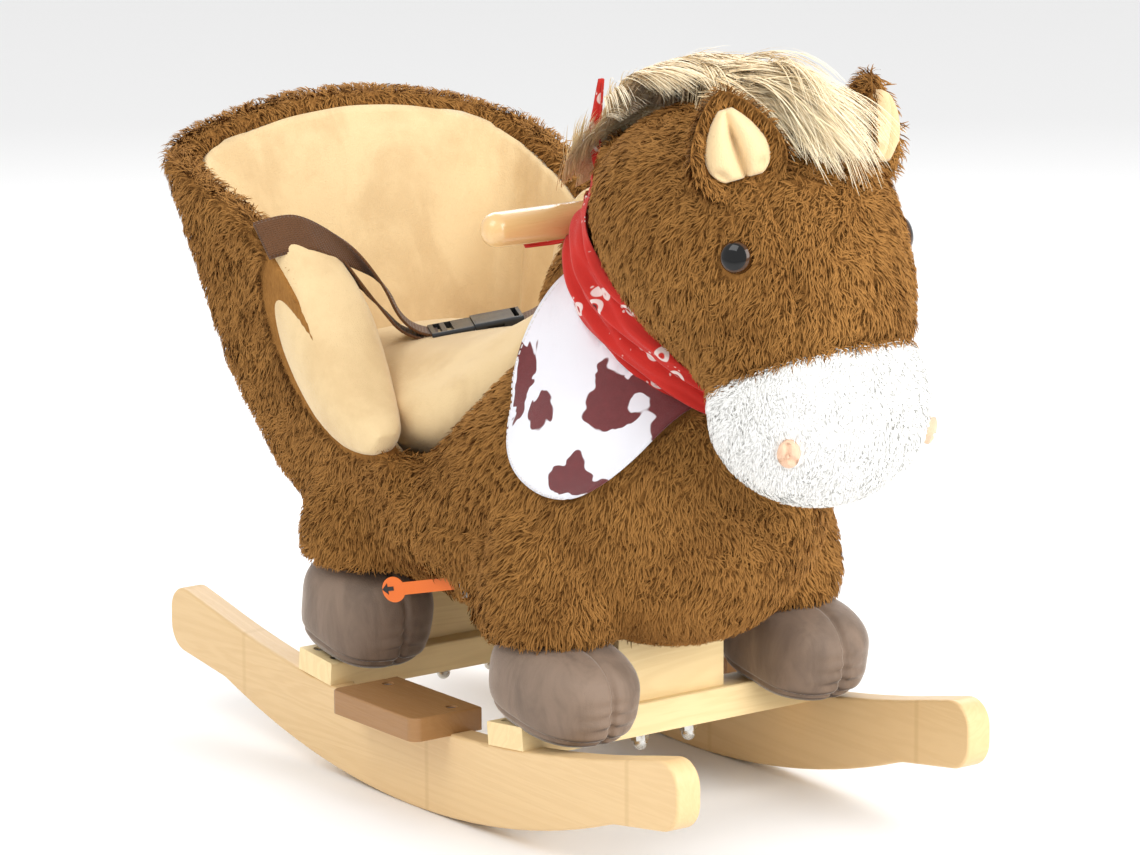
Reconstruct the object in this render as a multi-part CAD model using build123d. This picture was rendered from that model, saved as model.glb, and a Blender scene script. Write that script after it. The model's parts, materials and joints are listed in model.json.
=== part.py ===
from build123d import *
import os
from math import asin, degrees, sqrt

# Plush rocking horse with a bucket seat, millimetres.
# +X is forward (the nose), +Y is the horse's left, +Z is up, and z = 0 is the floor.
# The model is drawn about the middle of the rockers, then shifted by FRAME_X,
# so that the origin is at the bottom centre of the whole horse.

# ---- driving dimensions: wooden base ----
FRAME_X = -20.0            # middle of the rockers, behind the middle of the horse
ROCKER_LENGTH = 560.0
ROCKER_THICK = 18.0
TRACK_HALF = 121.0         # outer face of a rocker from the middle
BOTTOM_RADIUS = 630.0      # arc that the horse rocks on
TOP_RADIUS = 1035.0        # hollow upper edge
ROCKER_DEPTH = 55.4        # height of the rocker at its middle
STOP_ROUND = 18.0
TIP_ROUND = 16.0
HOLLOW_ROUND = 40.0
SLAT_X = 106.0
SLAT_WIDTH = 37.0
SLAT_ABOVE = 15.0          # slat thickness over the rockers
SLAT_REBATE = 5.0          # extra thickness between the rockers
REST_LENGTH = 93.0
REST_WIDTH = 52.0
REST_THICK = 15.0
REST_OVERHANG = 28.0       # foot rest beyond the rocker's outer face
SCREW_HEAD = 7.4
SCREW_SHANK = 3.6
SCREW_LENGTH = 34.0
SCREW_RECESS = 1.2
SLAT_SCREW_PITCH = 19.0
REST_SCREW_PITCH = 70.0

# ---- driving dimensions: wooden core inside the plush ----
BOARD = 18.0
CORE_HALF = 41.0           # half width of the two upright boards
SEAT_BOARD_Z = 206.0       # underside of the seat board
SEAT_BOARD_THICK = 12.0
SEAT_BOARD_SIZE = (236.0, 150.0)
BOLT = 6.0
BOLT_PITCH = 38.0          # between the two bolts of a slat
BOLT_IN_BOARD = 42.0
NECK_POST = (32.0, 40.0, 170.0)
HANDLE_X = 59.0
HANDLE_Z = 374.0
HANDLE_DIAMETER = 22.0
HANDLE_HALF = 101.0

# ---- driving dimensions: seat tub ----
# Each level is (height, rear x, half width); the walls run straight between levels.
TUB_LEVELS = [
    (142.0, -140.0, 98.0), (190.0, -184.0, 117.0), (250.0, -220.0, 130.0), (430.0, -283.0, 156.0),
]
TUB_FRONT = 70.0
TUB_CORNER = 46.0
TUB_WALL = 25.0
PANEL_DEPTH = 13.0         # tub panel starts this far inside the plush
PANEL_THICK = 3.5

# ---- driving dimensions: horse ----
HEAD_CENTRE = (188.0, 0.0, 391.0)
HEAD_RADII = (112.0, 83.0, 75.0)
MUZZLE_CENTRE = (260.0, 0.0, 287.0)
MUZZLE_RADII = (62.0, 70.0, 60.0)
EYE = (262.0, 53.0, 384.0)
EYE_DIAMETER = 21.0
FRONT_LEG = (105.0, 86.0)
REAR_LEG = (-93.0, 88.0)
FRONT_HOOF = (124.0, 90.0, 104.0)
REAR_HOOF = (-92.0, 89.0, 111.0)

# Upright sections of the torso: (x, half width, low z, high z).
TORSO = [
    (-168, 58, 140, 205), (-120, 98, 122, 225), (-60, 112, 114, 232), (0, 117, 110, 262),
    (60, 116, 110, 312), (120, 108, 112, 320), (172, 84, 128, 296), (203, 44, 170, 262),
]
# Upright sections of the saddle cushion, in the same order.
CUSHION = [
    (-208, 70, 205, 250), (-150, 100, 198, 266), (-90, 106, 197, 272), (-20, 100, 197, 287),
    (36, 52, 222, 326),
]
CHEEK_CENTRE = (238.0, 0.0, 342.0)
CHEEK_RADII = (74.0, 72.0, 68.0)
MUZZLE_SEAM = (262.0, 313.0)   # point of the seam plane between head and muzzle
SEAM_TILT = 17.0
NECK_CENTRE = (118.0, 0.0, 330.0)
NECK_LEAN = 32.0
NECK_RADII = (92.0, 58.0, 1.0)
SCARF_UP = 4.0             # along the neck from its middle
NOSTRIL = (296.0, 52.0, 272.0)
EAR_CENTRE = (248.0, 53.0, 441.0)
EAR_RADII = (12.0, 30.0, 36.0)
EAR_SPLAY = 22.0
EAR_LEAN = -4.0
EAR_TURN = 34.0
BIB_MIDDLE = (140.0, 282.0)
BIB_RADII = (52.0, 62.0)
BIB_TURN = 24.0

# ---- driving dimensions: belt and sound box ----
BUCKLE_CENTRE = (-86.0, -5.0, 279.5)
BUCKLE_YAW = 61.6
BUCKLE_TILT = -9.0
BUCKLE_WIDTH = 33.0
BUCKLE_THICK = 11.0
SOCKET_LENGTH = 32.0
STRAP_WIDTH = 25.0
STRAP_THICK = 2.4
STRAP_ANCHOR = (-128.0, 126.0, 340.0)
BOX_SIZE = (56.0, 40.0, 24.0)
BOX_CENTRE = (48.0, -74.0, 156.0)
BOX_YAW = 27.0
BOX_TILT = -11.5
TAB_REACH = 54.0           # middle of the tab's round end from the box
CLEAR = 0.4                # room left around pieces that move
SIDES = (("right", -1), ("left", 1))

os.makedirs("parts", exist_ok=True)
shapes = {}


def box(x0, x1, y0, y1, z0, z1):
    """A block from its two corners."""
    size = (x1 - x0, y1 - y0, z1 - z0)
    return Pos((x0 + x1) / 2, (y0 + y1) / 2, (z0 + z1) / 2) * Box(*size)


def ellipsoid(centre, radii):
    return Pos(*centre) * scale(Sphere(1), by=radii)


def largest(shape):
    return max(shape.solids(), key=lambda s: s.volume)


def add(name, shape):
    shapes[name] = shape


def near(shape, cutter):
    a, b = shape.bounding_box(), cutter.bounding_box()
    return all(
        lo < hi
        for lo, hi in (
            (a.min.X, b.max.X), (b.min.X, a.max.X), (a.min.Y, b.max.Y),
            (b.min.Y, a.max.Y), (a.min.Z, b.max.Z), (b.min.Z, a.max.Z),
        )
    )


def cut(shape, *names):
    """Cut the named pieces out of a soft solid, so that it fits around them."""
    for name in names:
        for piece in shapes[name].solids():
            if near(shape, piece):
                shape = shape - piece
    return shape


def bottom_z(x):
    return BOTTOM_RADIUS - sqrt(BOTTOM_RADIUS**2 - x**2)


def top_z(x):
    return ROCKER_DEPTH + TOP_RADIUS - sqrt(TOP_RADIUS**2 - x**2)


def slat_place(sign):
    """Local frame of a slat: it lies on the hollow top edge and tilts with it."""
    tilt = asin(SLAT_X / TOP_RADIUS)
    return Pos(sign * SLAT_X, 0, top_z(SLAT_X)) * Rot(0, -sign * degrees(tilt), 0)


def rocker_outline():
    """Side view of a rocker: rocking arc, a stop at each end, hollow upper edge."""
    half = ROCKER_LENGTH / 2
    arc_end = 214.0
    top_end = 236.0
    stop = (half, 47.0)
    tip = (half, 92.0)
    a = (arc_end, bottom_z(arc_end))
    d = (top_end, top_z(top_end))
    lines = [
        ThreePointArc((-a[0], a[1]), (0, 0), a),
        Line(a, stop),
        Line(stop, tip),
        Line(tip, d),
        ThreePointArc(d, (0, ROCKER_DEPTH), (-d[0], d[1])),
        Line((-d[0], d[1]), (-tip[0], tip[1])),
        Line((-tip[0], tip[1]), (-stop[0], stop[1])),
        Line((-stop[0], stop[1]), (-a[0], a[1])),
    ]
    face = make_face(lines)
    stops = [v for v in face.vertices() if abs(v.Y - stop[1]) < 0.1 and abs(v.X) > arc_end + 5]
    face = fillet(stops, STOP_ROUND)
    tips = [v for v in face.vertices() if abs(v.Y - tip[1]) < 0.1]
    face = fillet(tips, TIP_ROUND)
    hollows = [v for v in face.vertices() if abs(abs(v.X) - arc_end) < 0.1]
    return fillet(hollows, HOLLOW_ROUND)


def make_base():
    outline = rocker_outline()
    slats = {}
    for name, sign in (("cross_slat_front", 1), ("cross_slat_rear", -1)):
        body = box(-SLAT_WIDTH / 2, SLAT_WIDTH / 2, -TRACK_HALF, TRACK_HALF, 0, SLAT_ABOVE)
        long_edges = body.edges().filter_by(Axis.Y).group_by(Axis.Z)[-1]
        body = chamfer(long_edges, 0.8)
        inner = TRACK_HALF - ROCKER_THICK
        body += box(-SLAT_WIDTH / 2, SLAT_WIDTH / 2, -inner, inner, -SLAT_REBATE, 0)
        slats[name] = slat_place(sign) * body
    rests = {}
    for side, sign in SIDES:
        outer = TRACK_HALF + REST_OVERHANG
        y0, y1 = sorted((sign * outer, sign * (outer - REST_WIDTH)))
        half = REST_LENGTH / 2
        rest = box(-half, half, y0, y1, ROCKER_DEPTH, ROCKER_DEPTH + REST_THICK)
        outer_edges = rest.edges().filter_by(Axis.Z).sort_by(Axis.Y)
        outer_edges = outer_edges[:2] if sign < 0 else outer_edges[-2:]
        rest = fillet(outer_edges, 7)
        rest = fillet(rest.faces().sort_by(Axis.Z)[-1].edges(), 1.2)
        rests[f"foot_rest_{side}"] = rest
    rockers = {}
    for side, sign in SIDES:
        board = extrude(Plane.XZ * outline, amount=ROCKER_THICK)
        board = fillet(board.faces().sort_by(Axis.Y)[0].edges(), 2.0)
        board = fillet(board.faces().sort_by(Axis.Y)[-1].edges(), 2.0)
        shift = TRACK_HALF if sign > 0 else -(TRACK_HALF - ROCKER_THICK)
        board = Pos(0, shift, 0) * board
        for piece in list(slats.values()) + [rests[f"foot_rest_{side}"]]:
            board = board - piece
        rockers[f"rocker_{side}"] = largest(board)
    return rockers, slats, rests


def wood_screw():
    """Countersunk wood screw, head up, top of the head at z = 0."""
    head = Pos(0, 0, -1.6) * Cone(SCREW_SHANK / 2, SCREW_HEAD / 2, 3.2)
    shank = Pos(0, 0, -SCREW_LENGTH / 2) * Cylinder(SCREW_SHANK / 2, SCREW_LENGTH - 6)
    tip = Pos(0, 0, -SCREW_LENGTH + 1.5) * Cone(0.3, SCREW_SHANK / 2, 3.0)
    screw = head + shank + tip
    for turn in (0, 90):
        screw = screw - Pos(0, 0, -0.7) * Rot(0, 0, turn) * Box(4.2, 0.9, 1.4)
    return screw


def make_screws(rockers, slats, rests):
    """Screw the slats and foot rests down into the rockers."""
    middle = TRACK_HALF - ROCKER_THICK / 2
    recess = Pos(0, 0, 2.0) * Cylinder(SCREW_HEAD / 2, 4.0)
    slat_screws = []
    for name, end in (("cross_slat_front", 1), ("cross_slat_rear", -1)):
        for _, sign in SIDES:
            for step in (-1, 1):
                x = step * SLAT_SCREW_PITCH / 2
                seat = slat_place(end) * Pos(x, sign * middle, SLAT_ABOVE - SCREW_RECESS)
                slat_screws.append(seat * wood_screw())
                slats[name] = slats[name] - seat * recess - seat * wood_screw()
    rest_screws = []
    for side, sign in SIDES:
        for step in (-1, 1):
            top = ROCKER_DEPTH + REST_THICK - SCREW_RECESS
            seat = Pos(step * REST_SCREW_PITCH / 2, sign * middle, top)
            rest_screws.append(seat * wood_screw())
            name = f"foot_rest_{side}"
            rests[name] = rests[name] - seat * recess - seat * wood_screw()
    for side, _ in SIDES:
        name = f"rocker_{side}"
        for screw in slat_screws + rest_screws:
            if near(rockers[name], screw):
                rockers[name] = rockers[name] - screw
    return slat_screws, rest_screws


def make_bolts(slats):
    """Bolts that hold the core boards down on the slats, with domed nuts below."""
    bolts, washers, nuts = [], [], []
    for name, end in (("cross_slat_front", 1), ("cross_slat_rear", -1)):
        for step in (-1, 1):
            seat = slat_place(end) * Pos(0, step * BOLT_PITCH / 2, -SLAT_REBATE)
            top = SLAT_REBATE + SLAT_ABOVE + BOLT_IN_BOARD
            bolts.append(seat * Pos(0, 0, (top - 7) / 2) * Cylinder(BOLT / 2, top + 7))
            washer = Cylinder(6.2, 1.2) - Cylinder(BOLT / 2, 2)
            washers.append(seat * Pos(0, 0, -0.6) * washer)
            hexagon = extrude(RegularPolygon(5.6, 6), amount=5.5)
            shell = hexagon + Pos(0, 0, 6.5) * Cylinder(4.4, 2.0)
            shell += Pos(0, 0, 7.5) * Sphere(4.4)
            nut = shell - Pos(0, 0, 2.9) * Cylinder(BOLT / 2, 5.8)
            nuts.append(seat * Pos(0, 0, -1.2) * Rot(180, 0, 0) * nut)
            slats[name] = slats[name] - bolts[-1]
    return bolts, washers, nuts


def make_core(bolts):
    """Two upright boards on the slats, a seat board across them and a neck post."""
    for name, end in (("core_front_board", 1), ("core_rear_board", -1)):
        x = end * SLAT_X
        board = box(x - BOARD / 2, x + BOARD / 2, -CORE_HALF, CORE_HALF, 60, SEAT_BOARD_Z)
        above = slat_place(end) * box(-60, 60, -80, 80, SLAT_ABOVE, 200)
        board = board & above
        for bolt in bolts:
            if near(board, bolt):
                board = board - bolt
        add(name, largest(board))
    length, width = SEAT_BOARD_SIZE
    top = SEAT_BOARD_Z + SEAT_BOARD_THICK
    seat = box(-length / 2, length / 2, -width / 2, width / 2, SEAT_BOARD_Z, top)
    seat = fillet(seat.edges().filter_by(Axis.Z), 20)
    add("seat_board", seat)
    thick, wide, tall = NECK_POST
    base = SEAT_BOARD_Z + SEAT_BOARD_THICK
    post = box(HANDLE_X - thick / 2, HANDLE_X + thick / 2, -wide / 2, wide / 2, base, base + tall)
    post = chamfer(post.faces().sort_by(Axis.Z)[-1].edges(), 5)
    bar = Pos(HANDLE_X, 0, HANDLE_Z) * Rot(90, 0, 0) * Cylinder(HANDLE_DIAMETER / 2, 2 * HANDLE_HALF)
    bar = fillet(bar.edges(), HANDLE_DIAMETER / 2 - 0.6)
    add("handle_bar", bar)
    add("neck_post", post - bar)


def tub_section(level, inset):
    """Horizontal section of the tub: round rear corners, open towards the horse's neck."""
    height, rear, half = level
    rear, half = rear + inset, half - inset
    corner = TUB_CORNER - inset
    sketch = RectangleRounded(TUB_FRONT + 80 - rear, 2 * half, corner)
    middle = (rear + TUB_FRONT + 80) / 2
    return Pos(middle, 0, height) * sketch


def tub_solid(inset):
    return loft([tub_section(level, inset) for level in TUB_LEVELS], ruled=True)


def tub_side_profile(drop):
    """Side view of the tub walls: high back, then a wing that falls to the saddle."""
    rim = [(-246, 392), (-200, 376), (-128, 343), (-90, 300), (-64, 258), (-16, 219)]
    edge = Spline(*[(x, z - drop) for x, z in rim])
    start, end = (rim[0][0], rim[0][1] - drop), (rim[-1][0], rim[-1][1] - drop)
    outline = [
        edge,
        Polyline(end, (-16, 120), (-320, 120), (-320, 500), (start[0], 500), start),
    ]
    side = extrude(Plane.XZ * make_face(outline), amount=200, both=True)
    crown = make_face([
        ThreePointArc((-175, 372 - drop), (0, 414 - drop), (175, 372 - drop)),
        Polyline((175, 372 - drop), (175, 100), (-175, 100), (-175, 372 - drop)),
    ])
    return side & extrude(Plane.YZ * crown, amount=400, both=True)


def make_tub():
    """Plush outside, thin bent panel inside it, padded lining on the seat side."""
    outer, inner = tub_solid(0), tub_solid(TUB_WALL)
    outside_panel, inside_panel = tub_solid(PANEL_DEPTH), tub_solid(PANEL_DEPTH + PANEL_THICK)
    floor = box(-400, 400, -300, 300, 142, 196)
    panel = largest((outside_panel - inside_panel) & tub_side_profile(13) - floor)
    lining = largest((inside_panel - inner) & tub_side_profile(3) - floor)
    plush = (outer & tub_side_profile(0)) - inner - panel - lining
    add("tub_panel", panel)
    add("tub_lining", lining)
    add("tub_plush", largest(plush))
    return outer, inner


def level_loft(sections):
    """Loft of upright ellipses: each section is (x, half width, low z, high z)."""
    rings = []
    for x, half, low, high in sections:
        plane = Plane.YZ.offset(x)
        rings.append(plane * Pos(0, (low + high) / 2) * Ellipse(half, (high - low) / 2))
    return loft(rings)


def make_seat(inner):
    cushion = level_loft(CUSHION)
    cushion = cushion & inner
    cushion = cut(cushion, "seat_board", "neck_post", "core_front_board", "core_rear_board", "tub_panel")
    add("seat_cushion", largest(cushion))
    for side, sign in SIDES:
        pad = Pos(-84, sign * 108, 258) * Rot(sign * -11, -36, 0) * scale(Sphere(1), by=(34, 15, 80))
        pad = cut(pad, "tub_lining", "tub_panel", "tub_plush", "seat_cushion", "seat_board")
        add(f"wing_pad_{side}", largest(pad))


def make_body(outer):
    torso = level_loft(TORSO)
    torso = torso - (outer & tub_side_profile(0))
    inside = ["seat_board", "neck_post", "core_front_board", "core_rear_board", "seat_cushion"]
    return cut(torso, *inside)


def leg_shape(centre, sign, radii, low, high):
    x, y = centre
    rings = []
    for level, swell in ((low, 0.97), (low + 12, 1.04), ((low + high) / 2, 1.0), (high, 0.8)):
        rings.append(Pos(x, sign * y, level) * Ellipse(radii[0] * swell, radii[1] * swell))
    return loft(rings)


def make_legs(torso, slats, rooms):
    legs = (
        ("front", FRONT_LEG, (47, 42), 126, 203, FRONT_HOOF, (52, 36, 32), 10),
        ("rear", REAR_LEG, (46, 40), 137, 193, REAR_HOOF, (44, 36, 37), 12),
    )
    for end, centre, radii, low, high, hoof_centre, hoof_radii, pitch in legs:
        for side, sign in SIDES:
            leg = leg_shape(centre, sign, radii, low, high)
            leg = leg - box(-300, 300, -CORE_HALF, CORE_HALF, 0, 400)
            leg = leg - shapes["tub_plush"]
            for room in rooms:
                leg = leg - room
            x, y, z = hoof_centre
            hoof = Pos(x, sign * y, z) * Rot(0, pitch, 0) * scale(Sphere(1), by=hoof_radii)
            hoof = hoof - leg
            for slat in slats.values():
                if near(hoof, slat):
                    hoof = hoof - slat
            add(f"leg_{end}_{side}", largest(leg))
            add(f"hoof_{end}_{side}", largest(hoof))
            torso = torso - leg
            torso = torso - shapes[f"hoof_{end}_{side}"]
    add("body_plush", largest(torso))


def make_head():
    skull = ellipsoid(HEAD_CENTRE, HEAD_RADII)
    cheeks = ellipsoid(CHEEK_CENTRE, CHEEK_RADII)
    muzzle = ellipsoid(MUZZLE_CENTRE, MUZZLE_RADII)
    x, z = MUZZLE_SEAM
    below = Pos(x, 0, z) * Rot(0, -SEAM_TILT, 0) * Pos(0, 0, -150) * Box(500, 400, 300)
    neck = Pos(*NECK_CENTRE) * Rot(0, NECK_LEAN, 0) * scale(Cylinder(1, 130), by=NECK_RADII)
    head = (skull + cheeks) - below - neck
    head = cut(head, "neck_post", "handle_bar")
    neck = neck - shapes["body_plush"] - shapes["seat_cushion"]
    neck = cut(neck, "neck_post", "handle_bar", "seat_board")
    muzzle = (muzzle + cheeks) & below
    muzzle = muzzle - neck - shapes["body_plush"]
    add("head_plush", largest(head))
    add("neck_plush", largest(neck))
    add("muzzle_plush", largest(muzzle))


def make_face_details():
    """Eyes with their washers, nostril patches, and both ears with linings."""
    eyes, washers, patches, linings = [], [], [], []
    for side, sign in SIDES:
        x, y, z = EYE
        shank = Pos(x - 4, sign * (y - 10), z) * Rot(sign * 66, 0, 0) * Cylinder(1.6, 16)
        eye = largest(Pos(x, sign * y, z) * Sphere(EYE_DIAMETER / 2) + shank)
        washer = Pos(x - 5, sign * (y - 13), z) * Rot(sign * 66, 0, 0) * Cylinder(8, 1.2)
        eyes.append(eye)
        washers.append(largest(washer - eye))
        shapes["head_plush"] = largest(shapes["head_plush"] - eye - washer)
        patch = Pos(NOSTRIL[0], sign * NOSTRIL[1], NOSTRIL[2]) * Rot(sign * 70, 0, sign * 35)
        patch = patch * scale(Cylinder(1, 14), by=(5.5, 7, 1))
        shell = ellipsoid(MUZZLE_CENTRE, tuple(r + 1.2 for r in MUZZLE_RADII))
        solid = ellipsoid(MUZZLE_CENTRE, tuple(r + 0.1 for r in MUZZLE_RADII))
        patches.append(largest((patch & shell) - solid))
        x, y, z = EAR_CENTRE
        place = Pos(x, sign * y, z) * Rot(sign * -EAR_SPLAY, EAR_LEAN, sign * EAR_TURN)
        ear = place * scale(Sphere(1), by=EAR_RADII)
        lining = place * Pos(EAR_RADII[0] * 0.75, 0, 3)
        lining = lining * scale(Sphere(1), by=(EAR_RADII[0] * 0.6, 21, 26))
        ear = ear - shapes["head_plush"] - lining
        add(f"ear_{side}", largest(ear))
        linings.append(largest(lining - shapes["head_plush"]))
    add("eyes", Compound(eyes))
    add("eye_washers", Compound(washers))
    add("nostril_patches", Compound(patches))
    add("ear_linings", Compound(linings))


def make_hair():
    """Mane along the crest and the forelock between the ears."""
    crest = Pos(100, 0, 438) * Rot(0, -34, 0) * scale(Sphere(1), by=(92, 22, 38))
    crest = cut(crest, "head_plush", "neck_plush", "neck_post", "handle_bar", "seat_cushion")
    forelock = Pos(196, 0, 455) * Rot(0, 27, 0) * scale(Sphere(1), by=(84, 24, 24))
    forelock = cut(forelock, "head_plush", "ear_right", "ear_left", "ear_linings")
    forelock = largest(forelock)
    add("forelock", forelock)
    add("mane", largest(crest - forelock))


def make_scarf():
    """Folded scarf round the neck, its knot and tails behind, and a bib each side."""
    place = Pos(*NECK_CENTRE) * Rot(0, NECK_LEAN, 0) * Pos(0, 0, SCARF_UP)
    long_radius, wide_radius = NECK_RADII[0], NECK_RADII[1]
    ring = scale(Cylinder(1, 26), by=(long_radius + 5, wide_radius + 5, 1))
    ring = ring - scale(Cylinder(1, 30), by=(long_radius, wide_radius, 1))
    ring = place * ring
    ring = cut(ring, "head_plush", "neck_plush", "body_plush", "seat_cushion", "handle_bar")
    ring = largest(cut(ring, "muzzle_plush", "mane", "neck_post"))
    knot = place * Pos(-long_radius - 12, 0, 0) * scale(Sphere(1), by=(10, 13, 12))
    tails = []
    for turn, tilt, length in ((24, 14, 62), (-20, 196, 54)):
        tail = place * Pos(-long_radius - 14, 0, 0) * Rot(turn, tilt, 0)
        tails.append(tail * Pos(0, 0, 10 + length / 2) * scale(Sphere(1), by=(3, 9, length / 2)))
    add("scarf_band", ring)
    blocked = ["head_plush", "neck_plush", "handle_bar", "seat_cushion", "body_plush", "mane", "scarf_band"]
    add("scarf_knot", largest(cut(knot, "neck_post", *blocked)))
    tails = [largest(cut(tail, "scarf_knot", "neck_post", *blocked)) for tail in tails]
    add("scarf_tails", Compound(tails))
    outside = level_loft([(x, half + 4.5, low, high) for x, half, low, high in TORSO])
    inside = level_loft([(x, half + 0.5, low, high) for x, half, low, high in TORSO])
    bibs = []
    for _, sign in SIDES:
        outline = Pos(BIB_MIDDLE[0], 0, BIB_MIDDLE[1]) * Rot(90, 0, 0) * Rot(0, 0, BIB_TURN)
        outline = outline * scale(Cylinder(1, 400), by=(BIB_RADII[0], BIB_RADII[1], 1))
        half_space = box(0, 400, 0, 200, 0, 600) if sign > 0 else box(0, 400, -200, 0, 0, 600)
        bib = (outside & outline) & half_space
        bib = bib - inside
        bib = cut(bib, "scarf_band", "neck_plush", "head_plush", "muzzle_plush", "seat_cushion",
                  "body_plush", "leg_front_right", "leg_front_left", "handle_bar")
        bibs.append(largest(bib))
    add("bibs", Compound(bibs))


def buckle_place():
    return Pos(*BUCKLE_CENTRE) * Rot(0, 0, BUCKLE_YAW) * Rot(0, BUCKLE_TILT, 0)


def make_buckle():
    """Side-release buckle: socket, plug with two flexing prongs."""
    half, thick = BUCKLE_WIDTH / 2, BUCKLE_THICK / 2
    mouth = -2.0
    end = mouth + SOCKET_LENGTH
    socket = box(mouth, end, -half, half, -thick, thick)
    socket = fillet(socket.edges().filter_by(Axis.X), 2.4)
    socket = socket - box(mouth - 1, end - 8, -half + 3, half - 3, -3.4, 3.4)
    socket = socket - box(6, 17, -half - 1, half + 1, -2.9, 2.9)
    socket = socket - box(end - 5.5, end - 2.2, -half + 3.2, half - 3.2, -9, 9)
    back = mouth - CLEAR
    plug = box(-30, back, -half + 0.5, half - 0.5, -thick + 1.0, thick - 1.0)
    plug = fillet(plug.edges().filter_by(Axis.X), 2.0)
    for x in (-27.0, -19.5):
        plug = plug - box(x, x + 4.2, -half + 3.4, half - 3.4, -9, 9)
    plug = plug + box(back - 1, 15, -2.4, 2.4, -2.4, 2.4)
    add("buckle_socket", buckle_place() * socket)
    add("buckle_plug", buckle_place() * plug)
    for side, sign in SIDES:
        y_out, y_in = half - 3 - CLEAR, half - 3 - 4.6
        prong = box(back + CLEAR, 20, *sorted((sign * y_out, sign * y_in)), -2.8, 2.8)
        add(f"buckle_prong_{side}", buckle_place() * prong)


def strap_band(start, end, sag):
    """Flat strap as a bent band in the upright plane through its two ends."""
    reach = Vector(end[0] - start[0], end[1] - start[1], 0)
    rise = end[2] - start[2]
    plane = Plane(origin=start, x_dir=reach, z_dir=reach.cross(Vector(0, 0, 1)) * -1)
    if plane.y_dir.Z < 0:
        plane = Plane(origin=start, x_dir=reach, z_dir=reach.cross(Vector(0, 0, 1)))
    length = reach.length
    low = ThreePointArc((0, 0), (length * 0.5, rise * 0.5 - sag), (length, rise))
    high = low.moved(Pos(0, STRAP_THICK))
    sides = [Line(low @ 0, high @ 0), Line(low @ 1, high @ 1)]
    band = make_face([low, high] + sides)
    return extrude(plane * band, amount=STRAP_WIDTH / 2, both=True)


def make_straps():
    plug_end = (buckle_place() * Pos(-21, 0, BUCKLE_THICK / 2 - 0.2)).position
    socket_end = (buckle_place() * Pos(SOCKET_LENGTH - 1, 0, BUCKLE_THICK / 2 + 0.6)).position
    for side, sign, start in (("right", -1, plug_end), ("left", 1, socket_end)):
        x, y, z = STRAP_ANCHOR
        band = strap_band(tuple(start), (x, sign * y, z), 7)
        band = cut(band, "tub_lining", "tub_panel", "tub_plush", "buckle_socket")
        add(f"belt_strap_{side}", largest(band))


def box_place():
    return Pos(*BOX_CENTRE) * Rot(0, 0, BOX_YAW) * Rot(0, BOX_TILT, 0)


def make_sound_box():
    """Sound unit in the belly: case, cover, cells, board, speaker, button and pull tab."""
    length, width, height = (size / 2 for size in BOX_SIZE)
    wall = 1.8
    case = box(-length, length, -width, width, -height + 2, height)
    case = case - box(-length + wall, length - wall, -width + wall, width - wall, -height, height - wall)
    button_x, button_z = 16.0, -4.5
    bore = Pos(button_x, -width, button_z) * Rot(90, 0, 0) * Cylinder(4.5, 8)
    case = case - bore
    cell_z, cell_ys = -4.0, (-8.0, 4.5)
    tab_y, tab_half = -8.0, 4.0
    case = case - box(-length - 1, -length + 4, tab_y - 0.9, tab_y + 0.9, cell_z - 4.8, cell_z + 4.8)
    cover = box(-length, length, -width, width, -height, -height + 2)
    cover = cover - Pos(length - 6, width - 6, -height) * Cylinder(1.6, 10)
    screw = Pos(length - 6, width - 6, -height + 0.1) * Rot(180, 0, 0)
    screw = screw * (Pos(0, 0, -0.7) * Cylinder(2.6, 1.4) + Pos(0, 0, -5) * Cylinder(1.2, 10))
    cover = cover - screw
    boss = Pos(length - 6, width - 6, -2) * Cylinder(3.4, 2 * (height - 4)) & box(
        -length + wall, length - wall, -width + wall, width - wall, -height + 2, height - wall)
    case = case + boss - screw
    cells = [Pos(1.5, y, cell_z) * Rot(0, 90, 0) * (Cylinder(5.2, 42) + Pos(0, 0, 21.7) * Cylinder(1.9, 1.4))
             for y in cell_ys]
    board = box(-23, 14, -15, 15, 1.8, 3.0)
    speaker = Pos(-6, 0, 6.4) * (Cylinder(14, 3.2) + Pos(0, 0, -2.4) * Cylinder(7, 1.6))
    flange = Pos(button_x, -width + wall + CLEAR + 0.7, button_z) * Rot(90, 0, 0) * Cylinder(5.3, 1.4)
    stem = Pos(button_x, -width - 0.6, button_z) * Rot(90, 0, 0) * Cylinder(4.1, 5.8)
    reach = length + TAB_REACH
    strip = box(-reach, -length + 4.2, tab_y - 0.4, tab_y + 0.4, cell_z - tab_half, cell_z + tab_half)
    disc = Pos(-reach, tab_y, cell_z) * Rot(90, 0, 0) * Cylinder(8.2, 0.8)
    place = box_place()
    add("sound_case", place * largest(case))
    add("battery_cover", place * largest(cover))
    add("cover_screw", place * screw)
    add("battery_cells", Compound([place * cell for cell in cells]))
    add("sound_board", place * board)
    add("speaker", place * speaker)
    add("sound_button", place * (flange + stem))
    add("pull_tab", place * (strip + disc))
    pocket = place * box(-length, length, -width, width, -height, height)
    button_room = place * (Pos(button_x, -width - 3, button_z) * Rot(90, 0, 0) * Cylinder(6, 6.4))
    tab_room = place * box(-reach, -length, tab_y - 1.2, tab_y + 1.2, cell_z - 5, cell_z + 5)
    return [pocket, button_room, tab_room]


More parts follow.
